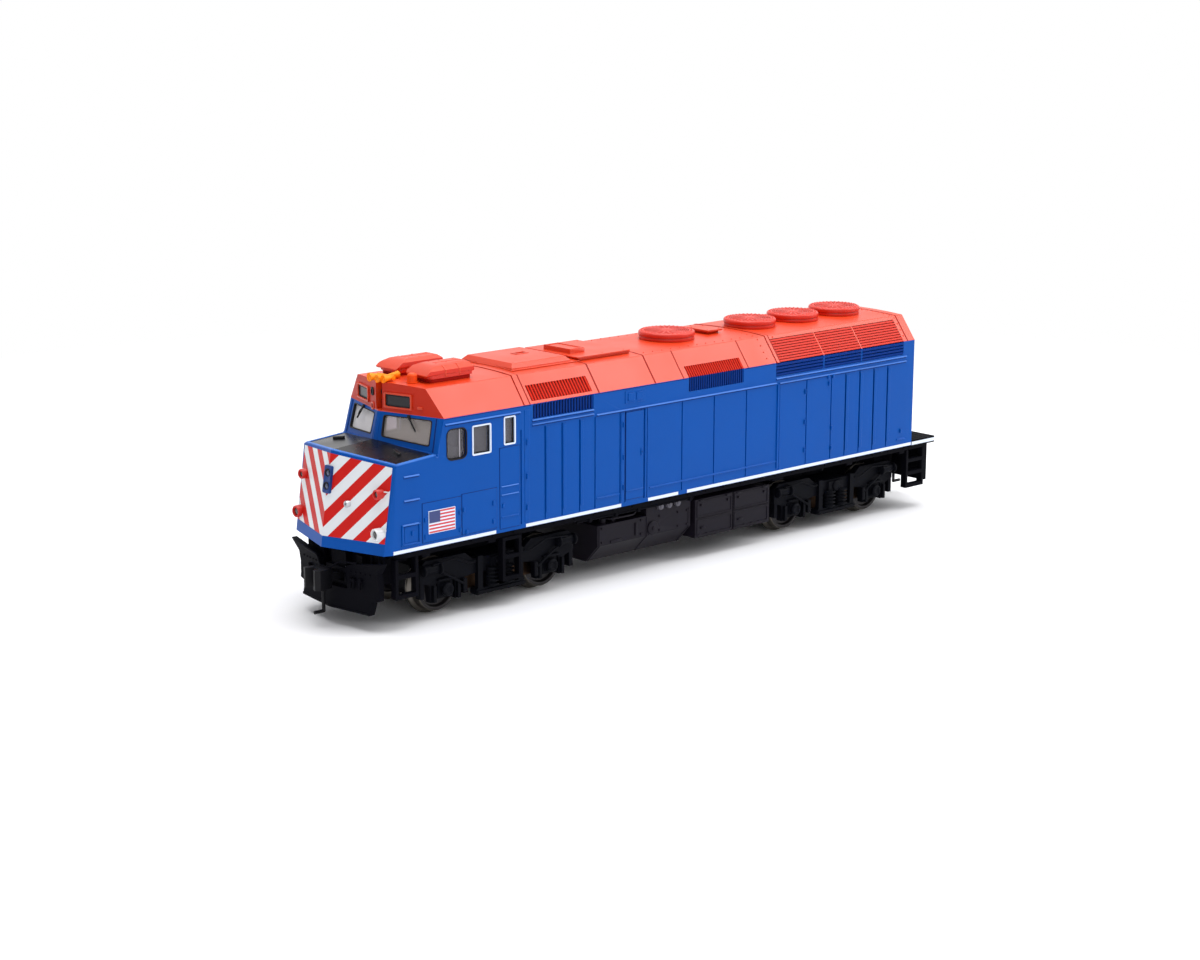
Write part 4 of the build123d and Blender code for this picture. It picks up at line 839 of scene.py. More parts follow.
# the rims are in the paler blue, a painted highlight
for corners, high, paint in (
        (((0.42, 0), (0.5, 8.75), (6.0, 8.75), (6.45, 0)), 0.03, 1),  # panel
        (((0.02, 0), (0.02, 9.2), (0.42, 9.2), (0.42, 0)), 0.11, 0),  # front rim, in the paler blue: painted highlight
        (((0.1, 8.8), (0.1, 9.28), (6.6, 9.28), (6.6, 8.8)), 0.11, 0)):  # side rim, in the paler blue: painted highlight
    slab(bm, [(NOSE - back - SWEEP * y, y) for back, y in corners], -0.1, high, DECK, paint)
slab(bm, rounded(0.5, 1.7, 0.2), 0, 0.38, DECK @ turned((46.0, 5.9, 0), "Z", -17), 1)
twin(bm)
finished(bm, "nose_top_panel", "body_paint", [highlight_blue, gloss_black])

# ---- Nose face ----
# Both halves of the nose carry a white field with red hazard bands that rise outward from the middle,
# printed as one film over the blue shell. A blue strip stays free along the lower edge.
NOSE_RAKE = 0.155  # how far the nose runs forward for each unit down
BAND_RISE = 1.05
BANDS = ((19.85, 30), (16.08, 17.94), (12.25, 14.22), (8.47, 10.46), (4.72, 6.69), (0.95, 2.92))
FACE = front_face(NOSE, NOSE_TOP, NOSE_RAKE)
hazard_white = finish_of("printed_white_field", "DDE1E5", 0.4, grain=0.02, blotch=0.015)
hazard_red = finish_of("printed_red_band", "C4120A", 0.4, 0.18, grain=0.02, blotch=0.02)
bm = bmesh.new()
slab(bm, [(-0.02, -0.36), (9.19, -1.12), (8.84, -10.35), (-0.476, -10.45)], -0.08, 0.035, FACE)
for height in (z for band in BANDS for z in band):
    bmesh.ops.bisect_plane(bm, geom=bm.verts[:] + bm.edges[:] + bm.faces[:], plane_co=(NOSE, 0, height),
                           plane_no=(0, -BAND_RISE, 1))
for face in bm.faces:
    middle = face.calc_center_median()
    rise = middle.z - BAND_RISE * middle.y
    face.material_index = int(any(low < rise < high for low, high in BANDS))
twin(bm)
finished(bm, "hazard_film", "body_paint", [hazard_white, hazard_red], width=0)

# ---- Nose lamps ----
# A blue twin headlight in an upright box astride the crease, hooded marker lamps high at both sides, round
# ditch lamps low down and a small lamp on the left. All are moulded caps with glossy lenses, glued on.
headlight_blue = finish_of("sprayed_blue_lamp_box", "0C3578", 0.35, 0.3)
lamp_silver = finish_of("silver_painted_reflector", "B9BCC2", 0.3, metal=0.6)
hood_red = finish_of("sprayed_red_lamp_hood", "C41C12", 0.36, 0.4)
hood_white = finish_of("sprayed_white_lamp_hood", "D9DBDE", 0.36, coat=0.2)
lens_dark = finish_of("dark_lamp_lens", "1A1216", 0.12, grain=0.0, coat=0.5)
lens_blue = finish_of("dark_blue_lamp_lens", "16305E", 0.1, grain=0.0, coat=0.8)
from_cad("nose_headlight", "headlight_box", "lamp_housing", headlight_blue, width=0.08)
bm = bmesh.new()
for down in (-2.75, -4.35):
    lamp = turned((NOSE - NOSE_RAKE * down + 0.17, 0, NOSE_TOP + down), "Y")
    lathe(bm, [(0, -0.3), (0.54, -0.3), (0.54, 0.06), (0.48, 0.1), (0.42, 0.0), (0.36, -0.12), (0, -0.14)],
          lamp, 28, 2)
    lathe(bm, [(0, 0.04), (0.22, 0.0), (0.4, -0.1), (0.4, -0.2), (0, -0.2)], lamp, 28, 1)
finished(bm, "headlight_lenses", "lamp_housing", [headlight_blue, lens_blue, seal_black], width=0, angle=50)


def face_lamp(bm, side, u, v, radius, reach, hood):
    """Round lamp that points straight ahead from the nose face, on one side."""
    lamp = side @ turned(FACE @ Vector((u, v, 0)), "Y")
    lathe(bm, [(0, -0.6), (radius, -0.6), (radius, reach - 0.08), (radius - 0.08, reach),
               (radius - 0.2, reach), (radius - 0.28, reach - 0.25), (0, reach - 0.3)], lamp, 28, hood)
    lathe(bm, [(0, reach - 0.15), (0.5 * radius, reach - 0.18), (radius - 0.24, reach - 0.26),
               (radius - 0.24, reach - 0.4), (0, reach - 0.4)], lamp, 28, 3)


bm = bmesh.new()
for side, ditch_hood in ((Matrix(), 1), (MIRRORED, 0)):
    face_lamp(bm, side, 7.75, -4.4, 0.62, 0.85, 0)
    face_lamp(bm, side, 8.0, -9.2, 0.75, 0.85, ditch_hood)
    for v in (-4.1, -8.7):  # small brackets out to the corner
        brick(bm, 8.3, 8.95, v - 0.06, v + 0.1, -0.1, 0.22, 1, side @ FACE)
face_lamp(bm, Matrix(), 3.1, -6.15, 0.42, 0.45, 2)
finished(bm, "nose_lamp_caps", "marker_lamps", [hood_red, hood_white, lamp_silver, lens_dark], "nose_lamps",
         width=0, angle=45)

# ---- Printed stripe and flag ----
# A white line printed along the lower edge of the body, broken at the doors, and a small striped flag on
# the front equipment door. Both are thin ink films on the paint.
flag_red = finish_of("printed_flag_red", "C8323A", 0.4, blotch=0.01)
flag_blue = finish_of("printed_flag_blue", "27366E", 0.4, blotch=0.01)
bm = bmesh.new()
for x0, x1 in ((REAR + 0.15, 0.24), (1.91, 7.42), (12.27, 28.56), (33.47, 49.45)):
    on_side(bm, x0, x1, SILL + 0.04, SILL + 0.46, 0.03)
LEFT, RIGHT, LOW, HIGH = 39.98, 44.12, 11.66, 14.5  # the flag's edges
MARGIN = 0.08
stripe = (HIGH - LOW - 2 * MARGIN) / 13
brick(bm, LEFT, RIGHT, LOW, HIGH, 0, 0.1, 0, ON_SIDE)
for n in range(7):
    z = LOW + MARGIN + 2 * n * stripe
    brick(bm, LEFT + MARGIN, RIGHT - MARGIN, z, z + stripe, 0, 0.115, 1, ON_SIDE)
brick(bm, 42.35, RIGHT - MARGIN, 12.98, HIGH - MARGIN, 0, 0.13, 2, ON_SIDE)
twin(bm)
finished(bm, "printed_films", "platform_white", [frame_white, flag_red, flag_blue], width=0)

# ---- Rear wall ----
# The flat rear end has a centre door, grab irons and a twin lamp box high up, with a marker lamp each side.
# Door and straps are part of the shell; lamps are glued on, and the grab irons are thin plastic rods.
REARWARD = Matrix(((0, 0, -1), (1, 0, 0), (0, 1, 0))).to_4x4()  # (y, z, rearward) to (x, y, z)
ON_REAR = Matrix.Translation((REAR, 0, 0)) @ REARWARD
rail_plastic = finish_of("blue_acetal_rod", "2B62B4", 0.4)
lens_red = finish_of("red_marker_lens", "A5161A", 0.12, grain=0.0, coat=1.0, clear=0.15)
from_cad("rear_lamps", "rear_lamp_box", "lamp_housing", headlight_blue, width=0.05)


def on_rear(bm, y0, y1, z0, z1, proud):
    """Flat piece on the rear wall, standing proud of it."""
    brick(bm, y0, y1, z0, z1, SUNK, proud, 0, ON_REAR)


bm = bmesh.new()
slab(bm, rounded(5.2, 11.0, 0.3, 0, 17.0), SUNK, 0.1, ON_REAR)  # door leaf
hoop(bm, rounded(5.7, 11.5, 0.5, 0, 17.0), rounded(5.3, 11.1, 0.35, 0, 17.0), SUNK, 0.18, ON_REAR)
for z in (12.9, 13.5, 14.1, 14.7):  # louvres low in the door
    on_rear(bm, -1.6, 1.6, z, z + 0.3, 0.2)
slab(bm, rounded(1.9, 2.3, 0.3, 0, 20.4), SUNK, 0.13, ON_REAR, 1)  # its blank pane
hoop(bm, rounded(2.3, 2.7, 0.45, 0, 20.4), rounded(1.8, 2.2, 0.3, 0, 20.4), SUNK, 0.2, ON_REAR)
for z in (13.0, 17.0, 21.4):  # its hinges
    rod(bm, (REAR - 0.14, -2.72, z - 0.45), (REAR - 0.14, -2.72, z + 0.45), 0.16, sides=12)
slab(bm, rounded(0.4, 0.9, 0.12, 2.1, 16.8), SUNK, 0.26, ON_REAR)  # its latch
for y in (-7.0, -4.4, 4.4, 7.0):  # upright straps
    on_rear(bm, y - 0.14, y + 0.14, SILL + 0.9, EAVE - 0.6, 0.09)
for z in (SILL + 0.9, EAVE - 0.6):
    on_rear(bm, -8.9, 8.9, z - 0.12, z + 0.12, 0.07)
for y in (-8.1, 8.1):  # sockets and lenses of the marker lamps
    spot = turned((REAR, y, 23.6), "Y", -90)
    lathe(bm, [(0, -0.3), (0.75, -0.3), (0.75, 0.2), (0.66, 0.28), (0.52, 0.2), (0, 0.15)], spot, 24)
    lathe(bm, [(0, 0.36), (0.25, 0.33), (0.5, 0.2), (0.5, 0.05), (0, 0.05)], spot, 24, 2)
for y in (-0.6, 0.6):  # lenses in the lamp box
    lathe(bm, [(0, 0.3), (0.2, 0.28), (0.38, 0.2), (0.38, 0.12), (0, 0.12)],
          turned((REAR, y, EAVE + 1.6), "Y", -90), 24, 3)
finished(bm, "rear_wall_relief", "body_paint", [shell_paint, blank_pane, lens_red, lens_clear], width=0.03)
bm = bmesh.new()
for y in (-3.5, 3.5):
    wire(bm, [(REAR + x, y, z) for x, z in ((0.1, 12.6), (-0.75, 12.6), (-0.75, 20.4), (0.1, 20.4))], 0.15)
for n in range(8):  # climbing rungs at the left corner
    rung = [(REAR + x, y, 12.0 + 1.6 * n) for x, y in ((0.1, 5.0), (-0.6, 5.0), (-0.6, 6.5), (0.1, 6.5))]
    wire(bm, rung, 0.12, 0.2)
finished(bm, "rear_grab_irons", "body_paint", [rail_plastic], width=0, angle=60)

# ---- Rear platform ----
# A flat deck on the underframe's rear end with a dark, ribbed walking surface and a white printed edge.
# Moulded black ABS with short treads set alternately to left and right.
black_abs = finish_of("moulded_black_abs", "08080E", 0.55, 0.03, grain_mm=0.3, grain=0.08, blotch=0.1)
from_cad("rear_platform", "platform_deck", "platform_white", black_abs)
deck_low, deck_high = extents("rear_platform")
edge = deck_high.z - 0.72, deck_high.z - 0.25
bm = bmesh.new()
for y in (HALF - 0.03, -HALF - 0.03):
    brick(bm, deck_low.x + 0.05, deck_high.x - 0.05, y, y + 0.06, *edge)
brick(bm, deck_low.x - 0.03, deck_low.x + 0.03, -HALF + 0.05, HALF - 0.05, *edge)
finished(bm, "platform_edge_print", "platform_white", [frame_white], width=0)
gathered("platform_tread", "platform_white", [
    grown(slat_tree, black_abs, (0, 0, radians(35 if n % 2 else -35)), 22, Step=(0, 0.82, 0),
          Size=(0.34, 0.16, 0.1), Start=(deck_low.x + 0.55 + n * 0.5, -8.6, deck_high.z)) for n in range(9)])

# ---- Underframe ----
# The sill plate with the die-cast weight on it. A thick and a thin pipe hang in clamps below its edge, and
# a row of bolt heads runs along the edge. Black ABS, with a bare zinc casting for the weight.
cast_zinc = finish_of("die_cast_zinc", "6F7076", 0.5, grain_mm=0.35, grain=0.2, blotch=0.08, metal=0.85)
from_cad("underframe", "sill_plate", "underframe_black", black_abs)
from_cad("chassis_weight", "weight_casting", "cast_weight", cast_zinc, width=0.15)
plate_low, plate_high = extents("underframe")
pipe_z = plate_low.z - 0.25
bm = bmesh.new()
for y, z, radius in ((8.35, pipe_z, 0.22), (7.75, pipe_z - 0.1, 0.16)):
    for x0, x1 in ((-19.4, -17.2), (-1.9, 19.2)):
        rod(bm, (x0, y, z), (x1, y, z), radius, sides=12)
for x in (-1.2, 8.4, 12.4, 17.0):  # pipe clamps
    brick(bm, x - 0.25, x + 0.25, 7.45, 8.7, pipe_z - 0.35, plate_low.z + 0.1)
for x in (-44.5, -33.0, 33.6, 44.0):  # brackets
    brick(bm, x - 0.6, x + 0.6, 8.2, 8.75, plate_low.z - 0.4, plate_low.z + 0.1)
twin(bm)
finished(bm, "underframe_piping", "underframe_black", [black_abs], width=0.03)

bolt_tree = row_group("bolt heads", "GeometryNodeMeshCylinder", {"Vertices": 6}, Radius="Float",
                      Depth="Float")


def bolts(count, start, step, material, radius=0.16, height=0.3, turn=(pi / 2, 0, 0)):
    return grown(bolt_tree, material, turn, count, Start=start, Step=step, Radius=radius, Depth=height)


edge_z = (plate_low.z + plate_high.z) / 2
sill_row = bolts(27, (-44.6, 8.9, edge_z), (3.4, 0, 0), black_abs, 0.14, 0.2)
gathered("sill_bolts", "underframe_black", [sill_row], both=True)

# ---- Fuel tank ----
# The tank between the trucks has bevelled lower edges and a stepped top. Its filler, gauge, pipe stubs and
# weld lines are moulded on. Dark grey ABS.
tank_abs = finish_of("moulded_dark_grey_abs", "17141C", 0.42, 0.1, grain_mm=0.4, grain=0.08, blotch=0.07)
pipe_grey = finish_of("rubbed_grey_pipe_end", "4E4C54", 0.4, 0.3, blotch=0.1)
from_cad("fuel_tank", "tank_moulding", "tank_grey", tank_abs, width=0.12, segments=3)
tank_low, tank_high = extents("fuel_tank")
SIDE = 8.0  # flat side of the tank
bm = bmesh.new()
for x in (tank_low.x + 0.35, 6.35, tank_high.x - 0.35):  # weld straps round the tank
    slab(bm, [(SIDE + 0.08, 7.4), (SIDE + 0.08, 4.75), (SIDE - 2.26, 2.34), (SIDE - 2.26, 2.6),
              (SIDE - 0.1, 4.85), (SIDE - 0.1, 7.4)], x - 0.1, x + 0.1, ACROSS)
lathe(bm, [(0, -0.1), (0.95, -0.1), (0.95, 0.2), (0.85, 0.28), (0.6, 0.28), (0.55, 0.2), (0.3, 0.2),
           (0.25, 0.42), (0, 0.42)], turned((5.35, SIDE, 5.7), "X", -90), 28)  # filler
brick(bm, 10.9, 12.9, SIDE - 0.1, SIDE + 0.14, 4.95, 5.25)
brick(bm, 8.1, 8.5, SIDE - 0.1, SIDE + 0.16, 5.2, 6.9)  # gauge
for x in (0.86, 2.43, 4.02):  # pipe ends over the rear part
    lathe(bm, [(0, -0.6), (0.5, -0.6), (0.5, 0.3), (0.42, 0.38), (0.28, 0.36), (0.22, 0.5), (0, 0.5)],
          turned((x, 8.05, 8.5), "X", -90), 20, 2)
rod(bm, (11.8, 7.2, 7.4), (11.8, 7.2, 8.5), 0.3, sides=14)
rod(bm, (13.4, 7.0, 7.4), (13.4, 7.0, 8.2), 0.45, sides=14)
wire(bm, [(13.4, 7.0, 8.1), (12.6, 8.0, 8.15), (9.0, 8.15, 8.15), (8.0, 7.8, 8.5)], 0.14)
twin(bm)
finished(bm, "tank_fittings", "tank_grey", [tank_abs, black_abs, pipe_grey], width=0.03)
strap_rows = [bolts(2, (x, SIDE + 0.02, 7.1), (0, 0, -1.9), tank_abs, 0.15, 0.25)
              for x in (-1.1, 0.6, 4.0, 7.4, 14.4)]
gathered("tank_bolts", "tank_grey", strap_rows, both=True)

# ---- Equipment lockers ----
# Battery and air-valve lockers behind the tank: two doors on each side with raised rims, hinges along the
# top and a turn knob in each upper corner. Dark grey ABS.
from_cad("equipment_box", "locker_moulding", "tank_grey", tank_abs, width=0.08)
box_low, box_high = extents("equipment_box")
doors_at, half_way = box_high.y, (box_low.x + box_high.x) / 2
LOCKER = Matrix.Translation((0, doors_at, 0)) @ OUTWARD
bm = bmesh.new()
for x0, x1 in ((box_low.x + 0.3, half_way - 0.25), (half_way + 0.25, box_high.x - 0.3)):
    for z0, z1 in ((3.25, 5.5), (5.8, 8.1)):
        width, height, middle = x1 - x0, z1 - z0, ((x0 + x1) / 2, (z0 + z1) / 2)
        hoop(bm, rounded(width, height, 0.2, *middle), rounded(width - 0.36, height - 0.36, 0.12, *middle),
             -0.1, 0.09, LOCKER)
    for x in (x0 + 0.8, x1 - 0.8):
        rod(bm, (x - 0.35, doors_at + 0.08, 8.1), (x + 0.35, doors_at + 0.08, 8.1), 0.13)
        rod(bm, (x, doors_at - 0.1, 7.45), (x, doors_at + 0.2, 7.45), 0.2, 0.16, 12)
    brick(bm, x1 - 1.5, x1 - 0.7, 4.2, 4.45, -0.1, 0.22, 0, LOCKER)
twin(bm)
finished(bm, "locker_fittings", "tank_grey", [tank_abs], width=0.02)
door_rows = [bolts(5, (x + 0.55, doors_at + 0.02, 3.42), (1.5, 0, 0), tank_abs, 0.1, 0.2)
             for x in (box_low.x, half_way)]
gathered("locker_bolts", "tank_grey", door_rows, both=True)

# ---- Steps ----
# Ladders of flat rungs between stiles under the cab doors and at all four corners, with a row of tread
# studs on each rung. Black ABS, clipped to the underframe.
studs = []
for side in ("left", "right"):
    for kind, rungs in (("cab_steps_", 2), ("front_steps_", 2), ("rear_steps_", 3)):
        node = kind + side
        from_cad(node, node + "_ladder", "underframe_black", black_abs, width=0.05)
        low, high = extents(node)
        edge = high.y - 0.25 if side == "left" else low.y + 0.25
        for n in range(rungs):
            z = low.z + n * (plate_low.z - low.z) / rungs + 0.5
            pitch = (high.x - low.x - 1.3) / 4
            studs.append(rivets(5, (low.x + 0.65, edge, z), (pitch, 0, 0), black_abs, 0.09))
gathered("step_studs", "underframe_black", studs)

# ---- Pilot and end plates ----
# A swept snow plough with raised wing tips under the nose and a plain end plate under the rear deck. Air
# pipes with their taps and an uncoupling lever are moulded in front of them. Black ABS.
from_cad("pilot", "plough_moulding", "underframe_black", black_abs, width=0.08)
from_cad("rear_pilot", "rear_end_plate", "underframe_black", black_abs)
rear_face = next(extents("rear_pilot")).x
PLOUGH = turned((51.94, 0, 0), "Z", 8.53) @ ACROSS  # (outward, up, forward) on its left blade
ON_PLATE = Matrix.Translation((rear_face, 0, 0)) @ REARWARD


def tap(bm, place, u, v, size, height, drop):
    """Tap on a plate, with a pipe end that hangs from it."""
    lathe(bm, [(0, -0.1), (size, -0.1), (size, height - 0.1), (0.2, height), (0, height)],
          place @ Matrix.Translation((u, v, 0)), 14)
    rod(bm, place @ Vector((u, v, height - 0.2)), place @ Vector((u, v - drop, height - 0.15)), size / 2)


bm = bmesh.new()
brick(bm, 0.1, 6.9, 2.25, 2.5, 0.1, 0.42, 0, PLOUGH)  # wear strip
for u, v in ((3.6, 6.2), (4.1, 6.2), (5.2, 6.3)):
    tap(bm, PLOUGH, u, v, 0.26, 0.45, 1.1)
twin(bm)
for y in (5.9, 7.4):  # stays from the left blade up to the nose
    rod(bm, (50.3, y, 7.2), (49.6, y - 0.4, 9.75), 0.2)
brick(bm, 46.3, 50.95, -3.4, 3.4, 4.5, 4.82)  # carrier plate under the draft box
brick(bm, 49.3, 49.8, -7.6, 7.6, 7.4, 9.9)  # crossbeam behind the blade's upper edge
lever = [(51.9, 5.2, 8.55), (52.3, 2.3, 8.3), (52.9, 0.9, 7.3)]
wire(bm, lever + [(x, -y, z) for x, y, z in lever[::-1]], 0.13)
finished(bm, "plough_fittings", "underframe_black", [black_abs], width=0.02)
bm = bmesh.new()
brick(bm, 2.6, 8.1, 4.3, 4.6, -0.1, 0.14, 0, ON_PLATE)
for y in (3.4, 4.4, 5.4):
    tap(bm, ON_PLATE, y, 7.2, 0.28, 0.5, 1.2)
slab(bm, rounded(1.6, 1.6, 0.2, 7.0, 7.0), -0.1, 0.2, ON_PLATE)
twin(bm)
finished(bm, "end_plate_fittings", "underframe_black", [black_abs], width=0.02)
gathered("pilot_bolts", "underframe_black", [
    bolts(5, PLOUGH @ Vector((3.6, 7.2, 0.1)), PLOUGH.to_3x3() @ Vector((0.8, 0, 0)), black_abs, 0.13, 0.3,
          (0, pi / 2, radians(8.5))),
    bolts(7, (rear_face, 2.9, 8.6), (0, 0.8, 0), black_abs, 0.13, 0.25, (0, pi / 2, 0))], both=True)

# ---- Couplers ----
# Knuckle couplers in flat draft boxes at both ends. Acetal knuckle and shank with a thin steel trip pin;
# the box lid is held by one cross-head screw from below.
coupler_acetal = finish_of("black_acetal_coupler", "0D0D11", 0.46, 0.14)
screw_steel = finish_of("blackened_steel_screw", "3A3A40", 0.35, metal=1.0)
bm = bmesh.new()
for end, sign in (("front", 1), ("rear", -1)):
    box, coupler = end + "_coupler_box", end + "_coupler"
    from_cad(box, end + "_draft_box", "underframe_black", black_abs, width=0.07)
    from_cad(coupler, end + "_knuckle", "coupler_black", coupler_acetal, body=coupler, width=0.22, segments=4)
    low, high = extents(box)
    screw = (low.x + high.x) / 2 - sign * 0.5, 0, low.z
    lathe(bm, [(0, 0.1), (0.8, 0.1), (0.8, -0.16), (0.65, -0.26), (0, -0.28)], Matrix.Translation(screw), 24)
    for turn in (20, 110):
        brick(bm, -0.45, 0.45, -0.07, 0.07, -0.31, -0.2, 1, turned(screw, "Z", turn))
finished(bm, "draft_box_screws", "underframe_black", [screw_steel, black_abs], width=0.02)

# ---- Trucks ----
# Two-axle trucks moulded in black ABS: gear housing, bolster and side frames. The frames carry coil springs,
# swing hangers, brake cylinders with their pipes, and a bolted cover on each axle box.
truck_abs = finish_of("moulded_truck_black_abs", "08090F", 0.5, 0.05, grain_mm=0.35, grain=0.12, blotch=0.12)
# the pickup strips are darkened as painted shade behind the side frames
contact_bronze_in_shade = finish_of("phosphor_bronze_strip_darkened_as_painted_shade", "3C2D22", 0.45, blotch=0.08, metal=1.0)
spring_tree, given = node_group("coil spring", Radius="Float", Height="Float", Wire="Float", Foot="Vector",
                                Finish="Material")
helix = add(spring_tree, "GeometryNodeCurveSpiral", {
    "Resolution": 14, "Rotations": 5.0, "Start Radius": given["Radius"], "End Radius": given["Radius"],
    "Height": given["Height"]})
strand = add(spring_tree, "GeometryNodeCurvePrimitiveCircle", {"Resolution": 6, "Radius": given["Wire"]})
coil = add(spring_tree, "GeometryNodeCurveToMesh", {
    "Curve": helix, "Profile Curve": strand, "Fill Caps": True})
seated = add(spring_tree, "GeometryNodeTransform", {"Geometry": coil, "Translation": given["Foot"]})
close_group(spring_tree, seated, given["Finish"])
AXLE_Z = 3.675
HALF_BASE = 8.575  # from the truck's middle to an axle
for end in ("front", "rear"):
    body = end + "_truck"
    from_cad(body + "_frame", body + "_moulding", "truck_black", truck_abs, body=body, width=0.1)
    dress(contact_bronze_in_shade, body + "_contacts")
    low, high = extents(body + "_frame")
    centre, out = (low.x + high.x) / 2, high.y - 0.45
    bm = bmesh.new()
    coils = [grown(spring_tree, truck_abs, Radius=0.82, Height=2.5, Wire=0.13,
                   Foot=(centre + x, out - 0.12, AXLE_Z - 0.95)) for x in (1.25, -1.25)]
    for s in (1, -1):
        axle, tip, hanger = centre + s * HALF_BASE, centre + s * 12.3, centre + s * 3.3
        lathe(bm, [(0, -0.3), (0.85, -0.3), (0.85, 0.1), (0.7, 0.22), (0.42, 0.22), (0.36, 0.12), (0, 0.12)],
              turned((axle, out + 0.25, AXLE_Z), "X", -90), 28)  # axle-box cover
        brick(bm, axle - 1.35, axle + 1.35, out - 0.3, out + 0.12, AXLE_Z + 1.15, AXLE_Z + 1.4)
        for x in (axle - 1.9, axle + 1.9):  # pedestal jaws and their liners
            brick(bm, x - 0.22, x + 0.22, out - 0.2, out + 0.16, AXLE_Z - 1.4, AXLE_Z + 0.7)
        for x in (tip, tip - s * 2.55):  # brake cylinder heads
            lathe(bm, [(0, -0.12), (0.74, -0.12), (0.74, 0.1), (0.5, 0.2), (0, 0.2)],
                  turned((x, out + 0.1, AXLE_Z + 2.925), "Y"), 24)
        rod(bm, (tip - s * 2.5, out + 0.15, AXLE_Z + 2.5), (axle - s * 2.55, out + 0.2, AXLE_Z + 0.3), 0.16)
        shoe = sorted((axle - s * 2.45, axle - s * 3.05))
        brick(bm, *shoe, out - 0.5, out + 0.3, AXLE_Z - 0.9, AXLE_Z + 0.9)
        wire(bm, [(centre + s * x, out + y, AXLE_Z + z) for x, y, z in (
            (11.0, 0.35, 3.5), (7.4, 0.3, 3.75), (4.9, 0.2, 2.7), (3.9, 0, 2.75))], 0.12)
        for z in (AXLE_Z + 2.9, AXLE_Z - 1.0):  # hanger pins
            rod(bm, (hanger, out - 0.1, z), (hanger, out + 0.14, z), 0.27, 0.22, 14)
        coils += [bolts(2, (axle - 0.42, out + 0.42, AXLE_Z + dz), (0.84, 0, 0), truck_abs, 0.12, 0.2)
                  for dz in (-0.42, 0.42)]
    brick(bm, centre - 3.9, centre + 3.9, out + 0.25, out + 0.42, AXLE_Z - 1.4, AXLE_Z - 1.1)
    lathe(bm, [(0, -0.2), (0.75, -0.2), (0.75, 0.15), (0.6, 0.25), (0, 0.25)],
          turned((centre, out + 0.04, AXLE_Z + 2.1), "X", -90), 24)
    twin(bm)
    finished(bm, body + "_details", "truck_black", [truck_abs], body=body, width=0.03, angle=40)
    gathered(body + "_springs", "truck_black", coils, body=body, both=True, smooth=45)

# ---- Wheels ----
# Four turned wheelsets, each one body: blackened brass discs and axle with the tread and flange left bright
# nickel. The axle ends run in pockets of the side frames.
blackened_brass = finish_of("blackened_brass_disc", "2A2829", 0.42, blotch=0.12, metal=0.7)
bright_nickel = finish_of("turned_nickel_tread", "66625C", 0.36, grain_mm=0.1, grain=0.1, blotch=0.05,
                          metal=1.0)
DISC_RADIUS = 2.9  # tread and flange lie beyond it
for node in (f"{end}_truck_{axle}_wheels" for end in ("front", "rear") for axle in ("lead", "trail")):
    wheels = from_cad(node, node + "_turned", "wheel_metal", blackened_brass, bright_nickel, body=node,
                      width=0.04)
    low, high = extents(node)
    axle_x = (low.x + high.x) / 2
    for face in wheels.data.polygons:
        spot = face.center / MM
        face.material_index = int(hypot(spot.x - axle_x, spot.z - AXLE_Z) > DISC_RADIUS)

# ---- Studio ----
# Plain pale floor with the model's soft shadow, one large overhead light, two weaker side lights and a
# camera to the left of the nose. Places are in metres here.
scene = bpy.context.scene
scene.view_settings.view_transform = "Standard"
scene.world = bpy.data.worlds.new("pale room")
tree = emptied(scene.world)
ray = add(tree, "ShaderNodeLightPath").outputs
direct = add(tree, "ShaderNodeMath", {0: ray["Is Camera Ray"], 1: ray["Is Transmission Ray"]},
             operation="MAXIMUM")
seen = add(tree, "ShaderNodeMath", {0: direct, 1: ray["Is Glossy Ray"]}, operation="MAXIMUM")
room = add(tree, "ShaderNodeBackground", {"Color": linear("EAEAEC"), "Strength": 0.4})
white = add(tree, "ShaderNodeBackground", {"Color": (1, 1, 1, 1), "Strength": 1.0})
both = add(tree, "ShaderNodeMixShader", {0: seen, 1: room, 2: white})
add(tree, "ShaderNodeOutputWorld", {"Surface": both})

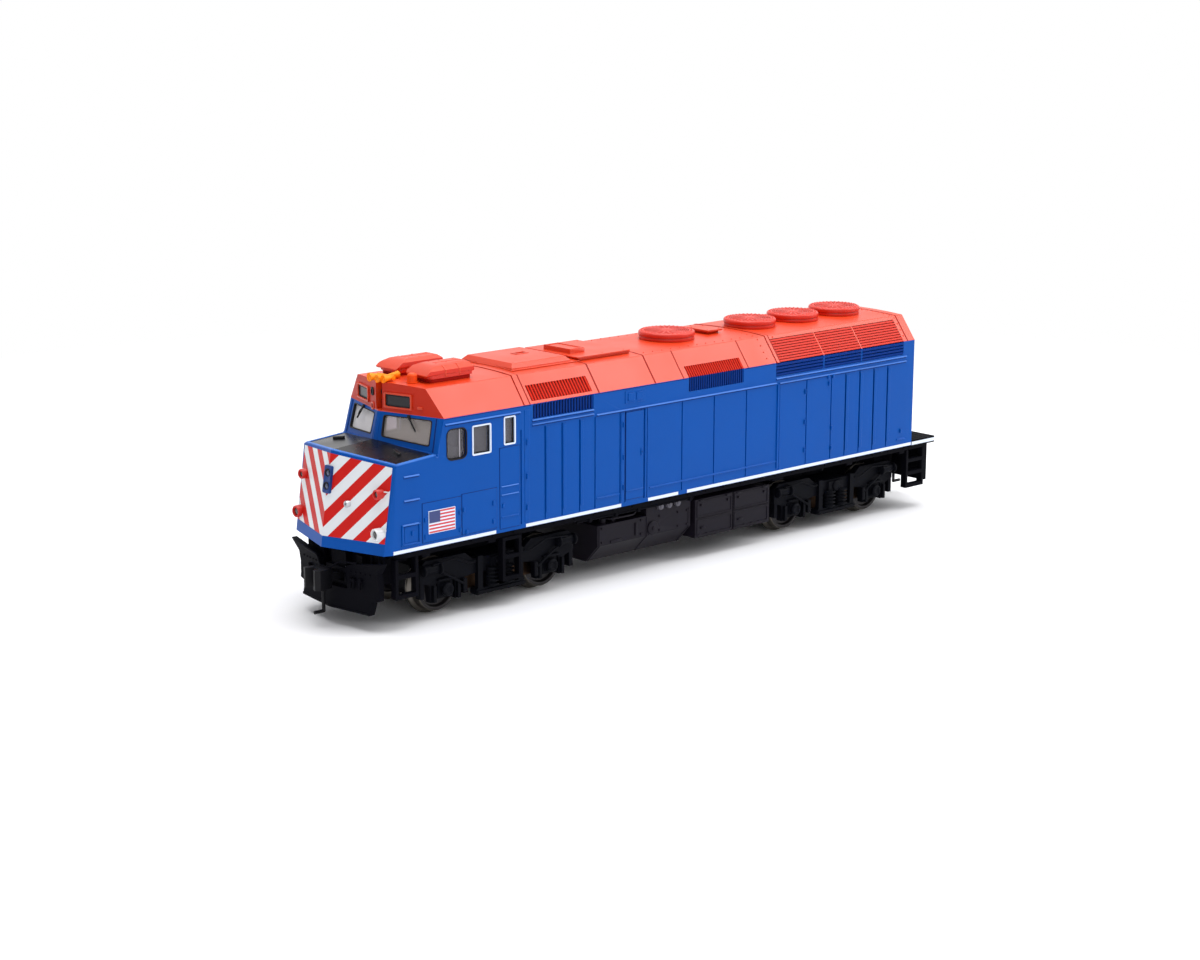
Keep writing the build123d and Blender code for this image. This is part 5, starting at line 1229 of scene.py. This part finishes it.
floor_mesh = bpy.data.meshes.new("floor")
bm = bmesh.new()
bmesh.ops.create_grid(bm, x_segments=1, y_segments=1, size=2.0)
bm.to_mesh(floor_mesh)
bm.free()
paper = bpy.data.materials.new("matt_white_paper")
tree = emptied(paper)
ray = add(tree, "ShaderNodeLightPath").outputs
place = add(tree, "ShaderNodeTexCoord").outputs["Object"]
away = add(tree, "ShaderNodeVectorMath", {0: place}, operation="LENGTH").outputs["Value"]
fade = add(tree, "ShaderNodeMapRange", {
    "Value": away, "From Min": 0.09, "From Max": 0.2, "To Min": 0.0, "To Max": 1.0})
white = add(tree, "ShaderNodeMath", {0: fade, 1: ray["Is Camera Ray"]}, operation="MULTIPLY")
matt = add(tree, "ShaderNodeBsdfDiffuse", {"Color": linear("F4F4F6")})
glow = add(tree, "ShaderNodeEmission", {"Color": (1, 1, 1, 1), "Strength": 1.0})
both = add(tree, "ShaderNodeMixShader", {0: white, 1: matt, 2: glow})
add(tree, "ShaderNodeOutputMaterial", {"Surface": both})
floor_mesh.materials.append(paper)
floor = bpy.data.objects.new("floor", floor_mesh)
scene.collection.objects.link(floor)


def soft_box(name, place, aim, size, watts):
    lamp = bpy.data.lights.new(name, "AREA")
    lamp.energy = watts
    lamp.size = size
    holder = bpy.data.objects.new(name, lamp)
    scene.collection.objects.link(holder)
    holder.location = place
    holder.rotation_euler = (Vector(aim) - Vector(place)).to_track_quat("-Z", "Y").to_euler()


soft_box("overhead", (0.0, -0.02, 0.5), (0, 0, 0.01), 0.5, 3.2)
soft_box("left_front", (0.3, 0.45, 0.22), (0.0, 0, 0.015), 0.4, 0.45)
soft_box("rear_left", (-0.38, 0.26, 0.36), (0.0, 0, 0.02), 0.4, 1.9)

lens = bpy.data.cameras.new("view")
lens.sensor_width = 36
lens.lens = 70.05
lens.clip_start = 0.01
camera = bpy.data.objects.new("view", lens)
scene.collection.objects.link(camera)
yaw, pitch, roll = radians(42.56), radians(12.88), radians(0.15)
back = Vector((sin(yaw) * cos(pitch), cos(yaw) * cos(pitch), sin(pitch)))
right = (-back).cross(Vector((0, 0, 1))).normalized()
up = right.cross(-back)
level, upright = cos(roll) * right + sin(roll) * up, cos(roll) * up - sin(roll) * right
turn = Matrix((level, upright, back)).transposed()
camera.matrix_world = Matrix.Translation(Vector((213.87, 224.84, 80.98)) * MM) @ turn.to_4x4()
scene.camera = camera
